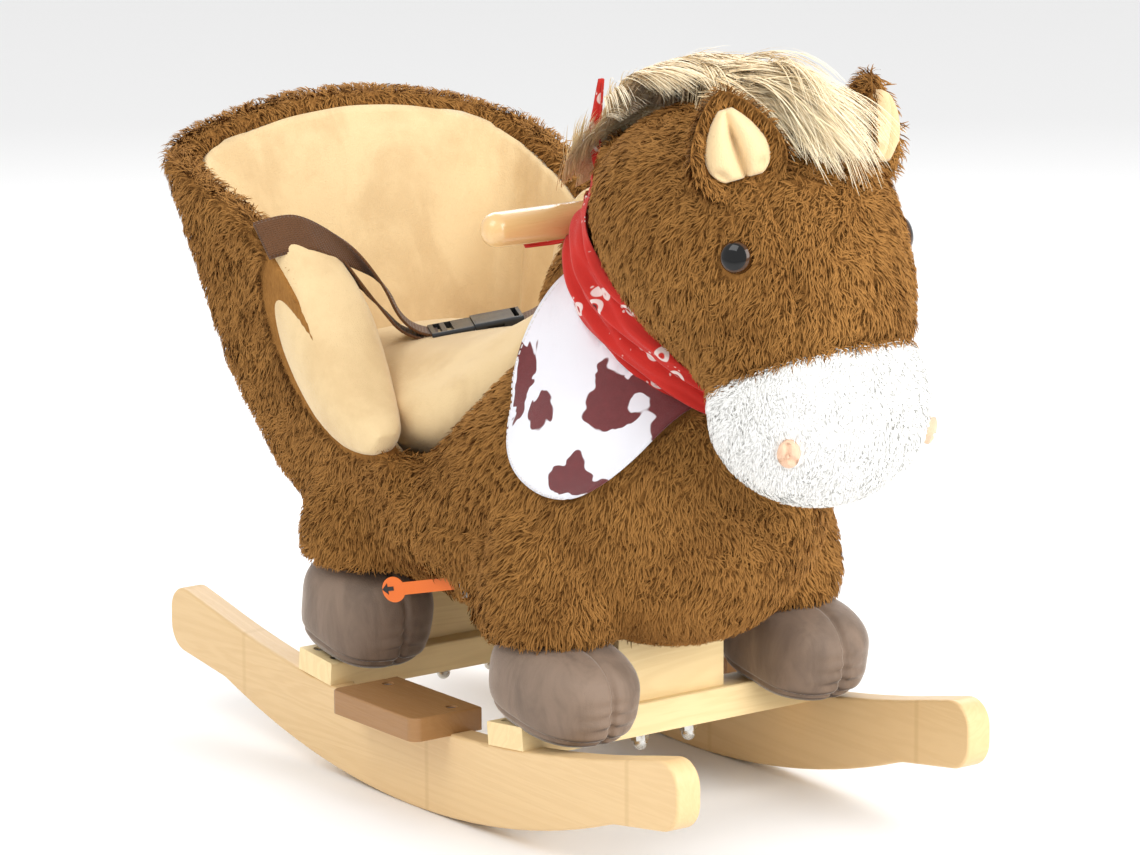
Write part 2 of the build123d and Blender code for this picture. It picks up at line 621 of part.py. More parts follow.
def build_all():
    rockers, slats, rests = make_base()
    slat_screws, rest_screws = make_screws(rockers, slats, rests)
    bolts, washers, nuts = make_bolts(slats)
    for name, shape in {**rockers, **slats, **rests}.items():
        add(name, largest(shape))
    add("slat_screws", Compound(slat_screws))
    add("foot_rest_screws", Compound(rest_screws))
    add("core_bolts", Compound(bolts))
    add("bolt_washers", Compound(washers))
    add("dome_nuts", Compound(nuts))
    make_core(bolts)
    make_buckle()
    rooms = make_sound_box()
    outer, inner = make_tub()
    make_straps()
    make_seat(inner)
    torso = make_body(outer)
    for room in rooms:
        torso = torso - room
    make_legs(torso, slats, rooms)
    make_head()
    make_face_details()
    make_hair()
    make_scarf()


build_all()
for node, shape in shapes.items():
    placed = [Pos(FRAME_X, 0, 0) * solid for solid in shape.solids()]
    export_step(placed[0] if len(placed) == 1 else Compound(placed), f"parts/{node}.step")
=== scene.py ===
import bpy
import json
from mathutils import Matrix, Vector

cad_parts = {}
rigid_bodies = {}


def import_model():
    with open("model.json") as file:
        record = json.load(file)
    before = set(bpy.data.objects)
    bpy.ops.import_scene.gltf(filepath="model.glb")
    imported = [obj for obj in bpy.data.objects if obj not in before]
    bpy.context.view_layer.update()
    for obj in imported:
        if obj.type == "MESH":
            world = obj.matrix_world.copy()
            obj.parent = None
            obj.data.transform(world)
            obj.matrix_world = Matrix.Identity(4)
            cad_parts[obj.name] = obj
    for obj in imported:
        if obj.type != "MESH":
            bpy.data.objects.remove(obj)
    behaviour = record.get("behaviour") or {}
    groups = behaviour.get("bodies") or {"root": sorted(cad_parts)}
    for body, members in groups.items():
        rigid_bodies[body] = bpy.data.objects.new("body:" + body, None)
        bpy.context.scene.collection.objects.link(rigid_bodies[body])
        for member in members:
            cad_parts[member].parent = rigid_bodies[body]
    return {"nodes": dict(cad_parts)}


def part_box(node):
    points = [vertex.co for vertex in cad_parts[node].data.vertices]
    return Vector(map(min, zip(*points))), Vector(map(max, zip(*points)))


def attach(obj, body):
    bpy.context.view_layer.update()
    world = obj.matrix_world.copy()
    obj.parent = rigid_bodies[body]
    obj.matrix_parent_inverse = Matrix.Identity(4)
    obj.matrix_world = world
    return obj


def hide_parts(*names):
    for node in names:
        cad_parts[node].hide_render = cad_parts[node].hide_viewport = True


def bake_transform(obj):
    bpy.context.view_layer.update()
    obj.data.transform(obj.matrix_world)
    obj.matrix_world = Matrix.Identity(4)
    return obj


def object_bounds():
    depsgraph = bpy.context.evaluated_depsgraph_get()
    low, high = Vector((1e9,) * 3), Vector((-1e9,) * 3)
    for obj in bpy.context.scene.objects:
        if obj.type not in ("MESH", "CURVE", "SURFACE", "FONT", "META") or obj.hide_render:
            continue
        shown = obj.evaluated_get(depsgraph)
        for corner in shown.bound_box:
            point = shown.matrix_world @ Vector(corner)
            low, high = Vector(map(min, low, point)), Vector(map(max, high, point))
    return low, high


bl_info = {
    "name": "Plush Rocking Horse",
    "version": (1, 0, 0),
    "blender": (4, 5, 0),
    "location": "View3D > Sidebar > Rocking Horse",
    "description": "Builds the plush, cloth, wood and hardware of a toddler's rocking horse",
    "category": "Add Mesh",
}

import json
import math

import bmesh
import bpy
import numpy as np
from bpy.props import FloatProperty, FloatVectorProperty, IntProperty, PointerProperty
from mathutils import Quaternion, Vector
from mathutils.bvhtree import BVHTree

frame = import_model()
CAD_LOW, CAD_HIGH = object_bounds()
MIDDLE = Vector(((CAD_LOW.x + CAD_HIGH.x) / 2, 0, (CAD_LOW.z + CAD_HIGH.z) / 2))
SIDES = (("right", -1), ("left", 1))


def srgb(red, green, blue):
    """Screen colour from 0 to 255 as the linear colour that the shaders take."""
    def linear(value):
        value /= 255
        return value / 12.92 if value <= 0.04045 else ((value + 0.055) / 1.055) ** 2.4
    return (linear(red), linear(green), linear(blue))


def length_prop(name, description, default):
    return FloatProperty(name=name, description=description, default=default, unit="LENGTH", precision=5)


def angle_prop(name, description, degrees):
    return FloatProperty(name=name, description=description, default=math.radians(degrees), subtype="ANGLE")


def colour_prop(name, description, default):
    return FloatVectorProperty(
        name=name, description=description, default=default, size=3, subtype="COLOR", min=0, max=1)


# ---------------------------------------------------------------- settings

class HorsePlushSettings(bpy.types.PropertyGroup):
    """Pile fabric of the horse."""
    skin_inset: length_prop("Skin inset", "How far the woven base lies under the tips of the pile", 0.0034)
    pile_length: length_prop("Pile length", "Length of the brown pile", 0.0078)
    pile_spacing: length_prop("Pile spacing", "Distance between tufts of the brown pile", 0.00155)
    pile_width: length_prop("Tuft width", "Width of one tuft at its root", 0.00085)
    muzzle_pile: length_prop("Muzzle pile", "Length of the white pile on the muzzle", 0.0042)
    # The root colours are darker than the pile itself: painted shade deep in the pile, where the tufts shade each
    # other.
    brown_root_shaded: colour_prop("Brown root", "Colour deep in the brown pile", srgb(88, 50, 16))
    brown_tip: colour_prop("Brown tip", "Colour at the tips of the brown pile", srgb(186, 134, 72))
    white_root_shaded: colour_prop("White root", "Colour deep in the white pile", srgb(250, 249, 245))
    white_tip: colour_prop("White tip", "Colour at the tips of the white pile", srgb(255, 255, 252))


class HorseHairSettings(bpy.types.PropertyGroup):
    """Long mane and forelock."""
    strands: IntProperty(name="Strands", description="Number of long hairs", default=13000, min=100)
    strand_width: length_prop("Strand width", "Width of one hair at its root", 0.00062)
    mane_length: length_prop("Mane length", "Length of the longest hairs", 0.100)
    # The darker root colour is painted shade near the roots, where the strands shade each other.
    root: colour_prop("Root", "Colour at the roots", srgb(230, 196, 140))
    tip: colour_prop("Tip", "Colour at the tips", srgb(255, 243, 212))


class HorseSeatSettings(bpy.types.PropertyGroup):
    """Velour of the seat."""
    cream: colour_prop("Cream", "Colour of the velour", srgb(230, 203, 156))
    shade: colour_prop("Brushed shade", "Colour where the nap is brushed the other way", srgb(212, 182, 136))
    lining_puff: length_prop("Lining puff", "How far the padded lining swells", 0.004)
    cushion_swell: length_prop("Cushion swell", "Most that the saddle cushion may swell", 0.007)
    rim_band: length_prop("Rim band", "Height of the brown roll above the lining", 0.009)


class HorseClothSettings(bpy.types.PropertyGroup):
    """Scarf, bib, belt and hooves."""
    red: colour_prop("Scarf red", "Ground of the scarf", srgb(206, 44, 34))
    bib_white: colour_prop("Bib white", "Ground of the bib", srgb(240, 240, 246))
    bib_spot: colour_prop("Bib spots", "Colour of the cow spots", srgb(96, 34, 36))
    webbing: colour_prop("Webbing", "Colour of the belt", srgb(104, 64, 26))
    hoof: colour_prop("Hoof", "Velvet of the hooves", srgb(134, 114, 98))
    # Darker colour on the faces that point down: painted shade under the hooves.
    hoof_underside_shade: colour_prop("Hoof sole", "Velvet under the hooves", srgb(74, 60, 52))
    peach: colour_prop("Nostril", "Embroidered nostril patches", srgb(238, 196, 164))
    webbing_thick: length_prop("Webbing thickness", "Thickness of the belt", 0.0016)


class HorseWoodSettings(bpy.types.PropertyGroup):
    """Timber of the base and the handle."""
    pine: colour_prop("Pine", "Cross slats and core boards", srgb(246, 222, 170))
    rocker: colour_prop("Rocker", "Rockers", srgb(226, 194, 144))
    # The foot rest colour is darker than its bare wood: partly the rest's own browner wood colour, partly painted
    # shade.
    rest: colour_prop("Foot rest", "Foot rests", srgb(164, 122, 76))
    handle: colour_prop("Handle", "Varnished handle", srgb(232, 192, 132))


class HorseStageSettings(bpy.types.PropertyGroup):
    """Floor, light and camera."""
    floor: colour_prop("Floor", "Colour of the floor", srgb(246, 246, 246))
    azimuth: angle_prop("Azimuth", "Camera direction round the horse", 53.9)
    elevation: angle_prop("Elevation", "Camera height over the horizon", 12.41)
    roll: angle_prop("Roll", "Tilt of the camera", -0.34)
    distance: length_prop("Distance", "Camera distance from its target", 3.4836)
    lens: FloatProperty(name="Lens", description="Focal length in millimetres", default=173.5)
    key: FloatProperty(name="Key light", description="Power of the main light in watts", default=20.0)
    fill: FloatProperty(name="Fill light", description="Power of the fill light in watts", default=42.0)
    ambient: FloatProperty(name="Ambient", description="Strength of the even light all round", default=0.86)


SETTINGS = {
    "horse_plush": HorsePlushSettings,
    "horse_hair": HorseHairSettings,
    "horse_seat": HorseSeatSettings,
    "horse_cloth": HorseClothSettings,
    "horse_wood": HorseWoodSettings,
    "horse_stage": HorseStageSettings,
}


# ---------------------------------------------------------------- shader maths

class Wire:
    """An output socket that takes part in Python expressions, each of which adds Math nodes."""

    def __init__(self, paint, socket):
        self.paint = paint
        self.socket = socket

    def _math(self, operation, first, second):
        return self.paint.node("ShaderNodeMath", {"operation": operation}, {0: first, 1: second})

    def __add__(self, other):
        return self._math("ADD", self, other)

    def __radd__(self, other):
        return self._math("ADD", other, self)

    def __sub__(self, other):
        return self._math("SUBTRACT", self, other)

    def __rsub__(self, other):
        return self._math("SUBTRACT", other, self)

    def __mul__(self, other):
        return self._math("MULTIPLY", self, other)

    def __rmul__(self, other):
        return self._math("MULTIPLY", other, self)

    def __truediv__(self, other):
        return self._math("DIVIDE", self, other)

    def __gt__(self, other):
        return self._math("GREATER_THAN", self, other)

    def __lt__(self, other):
        return self._math("LESS_THAN", self, other)

    def __abs__(self):
        return self._math("ABSOLUTE", self, 0)

    def __pow__(self, other):
        return self._math("POWER", self, other)

    def fraction(self):
        return self._math("FRACT", self, 0)

    def sine(self):
        return self._math("SINE", self, 0)


class Paint:
    """One procedural material while it is being put together."""

    def __init__(self, name):
        self.material = bpy.data.materials.new(name)
        self.material.use_nodes = True
        self.tree = self.material.node_tree
        self.shader = self.tree.nodes["Principled BSDF"]

    def put(self, socket, value):
        if isinstance(value, Wire):
            self.tree.links.new(value.socket, socket)
        elif socket.type == "RGBA" and len(value) == 3:
            socket.default_value = (*value, 1)
        else:
            socket.default_value = value

    def node(self, kind, settings=None, inputs=None, output=0):
        """Add a node: settings first, then the values or links of its sockets."""
        made = self.tree.nodes.new(kind)
        for key, value in (settings or {}).items():
            if key == "stops":
                while len(made.color_ramp.elements) < len(value):
                    made.color_ramp.elements.new(0.5)
                for stop, (place, colour) in zip(made.color_ramp.elements, value):
                    stop.position = place
                    stop.color = (*colour, 1)
            else:
                setattr(made, key, value)
        for key, value in (inputs or {}).items():
            self.put(made.inputs[key], value)
        return Wire(self, made.outputs[output])

    def place(self, stretch=(1, 1, 1), kind="Object", turn=(0, 0, 0)):
        """Coordinates of the piece itself, stretched and turned."""
        source = self.node("ShaderNodeTexCoord", output=kind)
        return self.node("ShaderNodeMapping", None, {"Vector": source, "Scale": stretch, "Rotation": turn})

    def noise(self, place, scale, detail=2.0, roughness=0.5, distortion=0.0):
        return self.node("ShaderNodeTexNoise", None, {
            "Vector": place, "Scale": scale, "Detail": detail,
            "Roughness": roughness, "Distortion": distortion}, "Fac")

    def cells(self, place, scale, feature="F1", output="Distance", jitter=1.0):
        inputs = {"Vector": place, "Scale": scale, "Randomness": jitter}
        return self.node("ShaderNodeTexVoronoi", {"feature": feature}, inputs, output)

    def split(self, vector, axis):
        return self.node("ShaderNodeSeparateXYZ", None, {0: vector}, axis)

    def mix(self, factor, first, second, blend="MIX"):
        settings = {"data_type": "RGBA", "blend_type": blend}
        return self.node("ShaderNodeMix", settings, {0: factor, 6: first, 7: second}, 2)

    def ramp(self, factor, *stops):
        return self.node("ShaderNodeValToRGB", {"stops": stops}, {"Fac": factor}, "Color")

    def steps(self, value, low, high, to_low=0.0, to_high=1.0):
        """Smooth step of a value from low to high."""
        inputs = {0: value, 1: low, 2: high, 3: to_low, 4: to_high}
        return self.node("ShaderNodeMapRange", {"interpolation_type": "SMOOTHSTEP"}, inputs)

    def bump(self, height, distance, strength=1.0):
        inputs = {"Height": height, "Distance": distance, "Strength": strength}
        return self.node("ShaderNodeBump", None, inputs, "Normal")

    def finish(self, **sockets):
        for key, value in sockets.items():
            self.put(self.shader.inputs[key.replace("_", " ")], value)
        return self.material


def scaled(colour, factor):
    return tuple(min(1.0, channel * factor) for channel in colour)


# ---------------------------------------------------------------- materials

def woven_base(name, root, mid):
    """Knitted ground between the tufts, mixed from the dark root colour, which is painted shade under the pile, and a
    lighter colour.
    """
    paint = Paint(name)
    place = paint.place()
    patches = paint.noise(place, 38, 3)
    fibres = paint.noise(paint.place((1, 1, 0.25)), 900, 2)
    colour = paint.mix(patches * 0.5 + fibres * 0.5, root, mid)
    return paint.finish(
        Base_Color=colour, Roughness=0.95, Sheen_Weight=0.1, Sheen_Roughness=0.5,
        Sheen_Tint=(*mid, 1), Specular_IOR_Level=0.1, Normal=paint.bump(fibres, 0.001))


def pile_fibre(name, root, tip, patch=0.35):
    """Tufts: dark at the root as painted shade deep in the pile, light at the tip, each a little different."""
    paint = Paint(name)
    uv = paint.place(kind="UV")
    along, tint = paint.split(uv, "Y"), paint.split(uv, "X")
    patches = paint.noise(paint.place(), 24, 3, 0.6)
    fine = paint.noise(paint.place(), 120, 2)
    # along darkens each tuft towards its root: painted shade deep in the pile; the tint and noise terms vary the tone
    # at random.
    light = 0.16 + along * 0.55 + ((tint - 0.5) * 0.5 + (patches - 0.5) * 2 + (fine - 0.5) * 0.6) * patch
    middle = tuple(0.5 * a + 0.5 * b for a, b in zip(root, tip))
    colour = paint.ramp(light, (0.0, root), (0.42, middle), (0.95, tip))
    return paint.finish(
        Base_Color=colour, Roughness=0.85, Sheen_Weight=0.08, Sheen_Roughness=0.45,
        Sheen_Tint=(*tip, 1), Specular_IOR_Level=0.12)


def long_hair(name, root, tip):
    paint = Paint(name)
    uv = paint.place(kind="UV")
    along, tint = paint.split(uv, "Y"), paint.split(uv, "X")
    locks = paint.noise(paint.place((1, 3, 1)), 30, 2)
    # along lightens each strand from root to tip: painted shade near the roots; tint and locks vary the tone at random.
    light = along * 0.45 + tint * 0.35 + locks * 0.5 - 0.1
    middle = tuple(0.45 * a + 0.55 * b for a, b in zip(root, tip))
    colour = paint.ramp(light, (0.1, root), (0.5, middle), (0.9, tip))
    return paint.finish(
        Base_Color=colour, Roughness=0.55, Specular_IOR_Level=0.35, Sheen_Weight=0.2, Sheen_Roughness=0.4)


def velour(name, light, shade):
    """Short brushed nap, with soft patches where hands stroked it."""
    paint = Paint(name)
    strokes = paint.noise(paint.place((1, 1, 0.6)), 16, 4, 0.55, 0.8)
    small = paint.noise(paint.place(), 70, 3, 0.6)
    nap = paint.noise(paint.place((1, 1, 0.5)), 1400, 2)
    brushed = paint.steps(strokes * 0.75 + small * 0.25, 0.42, 0.66)
    colour = paint.mix(brushed * 0.75 + nap * 0.15, light, shade)
    return paint.finish(
        Base_Color=colour, Roughness=0.85, Sheen_Weight=0.55, Sheen_Roughness=0.35,
        Sheen_Tint=(1.0, 0.95, 0.85, 1), Specular_IOR_Level=0.2,
        Normal=paint.bump(nap * 0.7 + small * 0.9, 0.0006))


def velvet(name, light, sole):
    """Crushed velvet, with the faces that point down darkened as painted shade under the hoof."""
    paint = Paint(name)
    place = paint.place()
    crush = paint.noise(paint.place((1, 1, 0.4)), 45, 4, 0.6, 0.6)
    nap = paint.noise(place, 1300, 2)
    # Faces that point down blend to the darker underside colour: painted shade under the hoof.
    down = paint.split(paint.node("ShaderNodeNewGeometry", output="Normal"), "Z")
    under = paint.steps(down, -0.75, -0.45, 1.0, 0.0)
    colour = paint.mix(paint.steps(crush, 0.35, 0.7), light, scaled(light, 0.68))
    colour = paint.mix(under, colour, sole)
    return paint.finish(
        Base_Color=colour, Roughness=0.6, Sheen_Weight=0.8, Sheen_Roughness=0.3,
        Sheen_Tint=(0.92, 0.86, 0.8, 1), Specular_IOR_Level=0.25,
        Normal=paint.bump(nap * 0.4 + crush * 0.6, 0.0005))


def felt(name, colour):
    paint = Paint(name)
    fuzz = paint.noise(paint.place(), 900, 3)
    tone = paint.noise(paint.place(), 130, 2)
    return paint.finish(
        Base_Color=paint.mix(tone, colour, scaled(colour, 0.82)), Roughness=0.9,
        Sheen_Weight=0.3, Normal=paint.bump(fuzz, 0.0006))


def scarf_print(name, red):
    """Red cotton with rings, drops and dotted lines in white and black."""
    paint = Paint(name)
    uv = paint.place(kind="UV")
    wobble = paint.noise(uv, 60, 1)
    ring_at = paint.cells(uv, 62) + (wobble - 0.5) * 0.12
    ring = paint.steps(abs(ring_at - 0.24), 0.045, 0.075, 1.0, 0.0)
    heart = paint.steps(abs(ring_at - 0.1), 0.03, 0.05, 1.0, 0.0)
    dots = paint.steps(paint.cells(uv, 230), 0.16, 0.24, 1.0, 0.0)
    band = paint.steps(abs(ring_at - 0.42), 0.05, 0.09, 1.0, 0.0)
    weave = paint.noise(paint.place((1, 1, 1), "UV"), 2600, 1)
    tone = paint.noise(paint.place(), 55, 2)
    colour = paint.mix(tone * 0.5, red, scaled(red, 0.62))
    colour = paint.mix(ring * 0.85, colour, srgb(238, 226, 220))
    colour = paint.mix(dots * band * 0.8, colour, srgb(232, 214, 206))
    colour = paint.mix(heart * 0.85, colour, srgb(42, 16, 18))
    return paint.finish(
        Base_Color=colour, Roughness=0.8, Sheen_Weight=0.15, Specular_IOR_Level=0.25,
        Normal=paint.bump(weave, 0.0003))


def cow_print(name, white, spot):
    """Satin with soft-edged cow spots."""
    paint = Paint(name)
    uv = paint.place(kind="UV")
    warp = paint.noise(uv, 38, 2, 0.5, 0.4)
    lobes = paint.cells(uv, 20, "SMOOTH_F1") + (warp - 0.5) * 0.85
    spots = paint.steps(lobes, 0.315, 0.335, 1.0, 0.0)
    tone = paint.noise(paint.place(), 210, 2)
    threads = paint.noise(paint.place((1, 6, 1), "UV"), 1500, 1)
    stain = paint.mix(tone, spot, scaled(spot, 1.55))
    return paint.finish(
        Base_Color=paint.mix(spots, white, stain), Roughness=0.42, Sheen_Weight=0.2,
        Specular_IOR_Level=0.4, Normal=paint.bump(threads, 0.00025))


def webbing(name, colour):
    """Ribbed narrow weave; the first texture axis runs across the belt."""
    paint = Paint(name)
    uv = paint.place(kind="UV")
    rib = ((paint.split(uv, "Y") * 2600).sine() * 0.5 + 0.5)
    cord = ((paint.split(uv, "X") * 4200).sine() * 0.5 + 0.5)
    weave = rib * cord
    tone = paint.noise(paint.place(), 160, 2)
    # Darker between the ribs and lighter on top of them: painted shade in the grooves and painted light on the ribs of
    # the weave; the tone noise varies it at random.
    shade = paint.mix(weave * 0.55 + tone * 0.4, scaled(colour, 0.62), scaled(colour, 1.25))
    return paint.finish(
        Base_Color=shade, Roughness=0.62, Sheen_Weight=0.2, Specular_IOR_Level=0.35,
        Normal=paint.bump(weave, 0.0006))


def timber(name, colour, along="X", gloss=0.45, joint=0.0, coat=0.0):
    """Planed wood: growth rings drawn out along the board, pores and faint streaks."""
    stretch = {"X": (0.07, 1, 1), "Y": (1, 0.07, 1), "Z": (1, 1, 0.07)}[along]
    paint = Paint(name)
    place = paint.place(stretch)
    figure = paint.noise(place, 22, 4, 0.55, 1.6)
    rings = ((figure * 62).sine() * 0.5 + 0.5)
    pores = paint.noise(place, 950, 2, 0.7)
    broad = paint.noise(paint.place(stretch), 9, 2)
    dark = scaled((colour[0] * 0.94, colour[1] * 0.86, colour[2] * 0.74), 0.86)
    tone = paint.mix(rings * 0.34 + pores * 0.2, colour, dark)
    tone = paint.mix(broad * 0.5, tone, scaled((colour[0], colour[1] * 0.93, colour[2] * 0.84), 0.92))
    if joint:
        lamella = paint.split(paint.place(), "X") / joint
        pale = paint.noise(paint.place((0.3, 1, 1)), 7, 0)
        line = paint.steps(abs(lamella.fraction() - 0.5), 0.485, 0.497)
        tone = paint.mix(paint.steps(pale, 0.5, 0.52) * 0.22, tone, scaled(colour, 1.16))
        tone = paint.mix(line * 0.45, tone, dark)
    rough = paint.steps(pores, 0.2, 0.8, gloss - 0.06, gloss + 0.12)
    return paint.finish(
        Base_Color=tone, Roughness=rough, Coat_Weight=coat, Coat_Roughness=0.08,
        Specular_IOR_Level=0.4, Normal=paint.bump(pores * 0.5 + rings * 0.3, 0.00018))


def metal(name, colour, rough):
    paint = Paint(name)
    wear = paint.noise(paint.place(), 320, 4, 0.6)
    tone = paint.mix(paint.steps(wear, 0.5, 0.75), colour, scaled(colour, 0.72))
    return paint.finish(
        Base_Color=tone, Metallic=1.0, Roughness=paint.steps(wear, 0.3, 0.8, rough, rough + 0.2),
        Normal=paint.bump(wear, 0.00008))


def moulded(name, colour, rough=0.38, grain=0.0001):
    paint = Paint(name)
    spark = paint.noise(paint.place(), 1500, 2)
    rub = paint.noise(paint.place(), 60, 3)
    return paint.finish(
        Base_Color=paint.mix(rub * 0.35, colour, scaled(colour, 1.5)),
        Roughness=paint.steps(rub, 0.3, 0.8, rough, rough + 0.15),
        Normal=paint.bump(spark, grain))


def eye_glass(name):
    """Black pupil with a dark amber ring; the first texture axis is the radius."""
    paint = Paint(name)
    radius = paint.split(paint.place(kind="UV"), "X")
    flecks = paint.noise(paint.place(), 700, 2)
    ring = paint.steps(radius, 0.74, 0.8)
    amber = paint.mix(flecks, srgb(48, 28, 12), srgb(84, 52, 22))
    return paint.finish(
        Base_Color=paint.mix(ring, srgb(4, 4, 5), amber), Roughness=0.08,
        Specular_IOR_Level=0.3, Coat_Weight=0.25, Coat_Roughness=0.03)


# ---------------------------------------------------------------- mesh helpers

def settings(name):
    return getattr(bpy.context.scene, name)


def new_object(name, mesh):
    obj = bpy.data.objects.new(name, mesh)
    bpy.context.scene.collection.objects.link(obj)
    return obj


def mesh_object(name, points, faces, uv=None, smooth=True):
    """Object from point and face arrays; uv has one pair for each point."""
    mesh = bpy.data.meshes.new(name)
    mesh.from_pydata([tuple(p) for p in np.asarray(points)], [], [tuple(f) for f in faces])
    if uv is not None:
        layer = mesh.uv_layers.new(name="UVMap")
        loops = np.zeros(len(mesh.loops), np.int32)
        mesh.loops.foreach_get("vertex_index", loops)
        layer.data.foreach_set("uv", np.asarray(uv, np.float32)[loops].ravel())
    mesh.polygons.foreach_set("use_smooth", [smooth] * len(mesh.polygons))
    mesh.update()
    return new_object(name, mesh)


def apply_modifiers(obj):
    graph = bpy.context.evaluated_depsgraph_get()
    made = bpy.data.meshes.new_from_object(obj.evaluated_get(graph))
    old = obj.data
    obj.modifiers.clear()
    obj.data = made
    bpy.data.meshes.remove(old)
    made.polygons.foreach_set("use_smooth", [True] * len(made.polygons))
    return obj


def changed(obj, kind, **values):
    """Run one modifier on an object and keep its result."""
    modifier = obj.modifiers.new(kind.lower(), kind)
    for key, value in values.items():
        setattr(modifier, key, value)
    return apply_modifiers(obj)


def points_of(obj):
    flat = np.zeros(len(obj.data.vertices) * 3)
    obj.data.vertices.foreach_get("co", flat)
    return flat.reshape(-1, 3)


def normals_of(obj):
    flat = np.zeros(len(obj.data.vertices) * 3, np.float32)
    obj.data.vertex_normals.foreach_get("vector", flat)
    return flat.reshape(-1, 3).astype(float)


def set_points(obj, points):
    obj.data.vertices.foreach_set("co", np.asarray(points, float).ravel())
    obj.data.update()


def grid_faces(rows, columns, loop=False):
    faces = []
    for row in range(rows - 1):
        for column in range(columns if loop else columns - 1):
            after = (column + 1) % columns
            faces.append((row * columns + column, row * columns + after,
                          (row + 1) * columns + after, (row + 1) * columns + column))
    return faces


def grid_sheet(name, points, thickness, uv_size):
    """A thin closed cloth from a grid of points (rows, columns, 3)."""
    rows, columns = points.shape[:2]
    u, v = np.meshgrid(np.linspace(0, uv_size[0], columns), np.linspace(0, uv_size[1], rows))
    obj = mesh_object(name, points.reshape(-1, 3), grid_faces(rows, columns), np.stack([u, v], 2).reshape(-1, 2))
    return changed(obj, "SOLIDIFY", thickness=thickness, offset=0)


def unit(vectors):
    return vectors / np.maximum(np.linalg.norm(vectors, axis=-1, keepdims=True), 1e-12)


def ripple(points, size, seed):
    """Smooth random field, about -1 to 1, that changes over the given size."""
    rng = np.random.default_rng(seed)
    waves = rng.normal(size=(7, 3)) * 2.2 / size
    phases = rng.uniform(0, 2 * math.pi, 7)
    return np.sin(points @ waves.T + phases).mean(axis=1) * 1.9


def sphere_directions(fineness):
    shape = bmesh.new()
    bmesh.ops.create_icosphere(shape, subdivisions=fineness, radius=1)
    directions = np.array([v.co for v in shape.verts], float)
    faces = [[v.index for v in f.verts] for f in shape.faces]
    shape.free()
    return unit(directions), faces


def joined_copy(name, nodes):
    """One mesh out of several CAD nodes."""
    shape = bmesh.new()
    for node in nodes:
        shape.from_mesh(frame["nodes"][node].data)
    mesh = bpy.data.meshes.new(name)
    shape.to_mesh(mesh)
    shape.free()
    return new_object(name, mesh)


def keep_largest(obj):
    """Drop the inner hollows and crumbs that a remesh leaves."""
    shape = bmesh.new()
    shape.from_mesh(obj.data)
    left = set(shape.verts)
    best = []
    while left:
        stack = [left.pop()]
        island = list(stack)
        while stack:
            for edge in stack.pop().link_edges:
                for vert in edge.verts:
                    if vert in left:
                        left.remove(vert)
                        stack.append(vert)
                        island.append(vert)
        if len(island) > len(best):
            best = island
    keep = set(best)
    bmesh.ops.delete(shape, geom=[v for v in shape.verts if v not in keep], context="VERTS")
    shape.to_mesh(obj.data)
    shape.free()
    return obj


def tree_of(*objects):
    points, faces = [], []
    for obj in objects:
        first = len(points)
        points += [v.co.copy() for v in obj.data.vertices]
        faces += [tuple(i + first for i in p.vertices) for p in obj.data.polygons]
    return BVHTree.FromPolygons(points, faces)


def fit_out(obj, material, replaced=(), body="horse"):
    """Finish a piece: material, body and the nodes it stands for."""
    obj.data.materials.clear()
    obj.data.materials.append(material)
    if body:
        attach(obj, body)
    if replaced:
        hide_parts(*replaced)
    return obj


def paint_node(node, material):
    mesh = frame["nodes"][node].data
    mesh.materials.clear()
    mesh.materials.append(material)


def inflate(obj, voxel, pressure, cap, frames=20):
    """Swell a cushion as cloth under pressure, with no point moving further than the cap."""
    changed(obj, "REMESH", mode="VOXEL", voxel_size=voxel)
    keep_largest(obj)
    before = points_of(obj)
    cloth = obj.modifiers.new("cloth", "CLOTH")
    cloth.settings.use_pressure = True
    cloth.settings.uniform_pressure_force = pressure
    cloth.settings.quality = 4
    cloth.settings.effector_weights.gravity = 0
    cloth.point_cache.frame_start = 1
    cloth.point_cache.frame_end = frames
    scene = bpy.context.scene
    for step in range(1, frames + 1):
        scene.frame_set(step)
    graph = bpy.context.evaluated_depsgraph_get()
    swollen = obj.evaluated_get(graph).to_mesh()
    flat = np.zeros(len(swollen.vertices) * 3)
    swollen.vertices.foreach_get("co", flat)
    obj.modifiers.clear()
    scene.frame_set(1)
    move = flat.reshape(-1, 3) - before
    size = np.linalg.norm(move, axis=1, keepdims=True)
    set_points(obj, before + move * np.minimum(1, cap / np.maximum(size, 1e-9)))
    changed(obj, "SMOOTH", factor=0.5, iterations=6)
    return changed(obj, "SUBSURF", levels=1, render_levels=1)


# ---------------------------------------------------------------- pile and hair

def scatter(obj, spacing, seed):
    """Random points on a mesh, with the surface normal at each."""
    mesh = obj.data
    mesh.calc_loop_triangles()
    corners = np.zeros(len(mesh.loop_triangles) * 3, np.int32)
    mesh.loop_triangles.foreach_get("vertices", corners)
    corners = corners.reshape(-1, 3)
    points, normals = points_of(obj), normals_of(obj)
    a, b, c = points[corners[:, 0]], points[corners[:, 1]], points[corners[:, 2]]
    area = np.linalg.norm(np.cross(b - a, c - a), axis=1) / 2
    rng = np.random.default_rng(seed)
    count = int(area.sum() / spacing ** 2)
    chosen = np.searchsorted(np.cumsum(area), rng.uniform(0, area.sum(), count)).clip(0, len(area) - 1)
    r, s = np.sqrt(rng.uniform(size=(count, 1))), rng.uniform(size=(count, 1))
    share = np.concatenate([1 - r, r * (1 - s), r * s], axis=1)[:, :, None]
    picked = corners[chosen]
    return (points[picked] * share).sum(1), unit((normals[picked] * share).sum(1)), rng


def uncovered(points, normals, covers, clear, reach):
    """True for each point that no covering piece lies over or comes near."""
    free = np.ones(len(points), bool)
    for cover in covers:
        tree, shell = tree_of(cover), points_of(cover)
        beside = ((points > shell.min(0) - reach) & (points < shell.max(0) + reach)).all(1)
        for i in np.nonzero(free & beside)[0]:
            spot, out = Vector(points[i]), Vector(normals[i])
            if tree.find_nearest(spot, clear)[0] is not None or tree.ray_cast(spot, out, reach)[0] is not None:
                free[i] = False
    return free


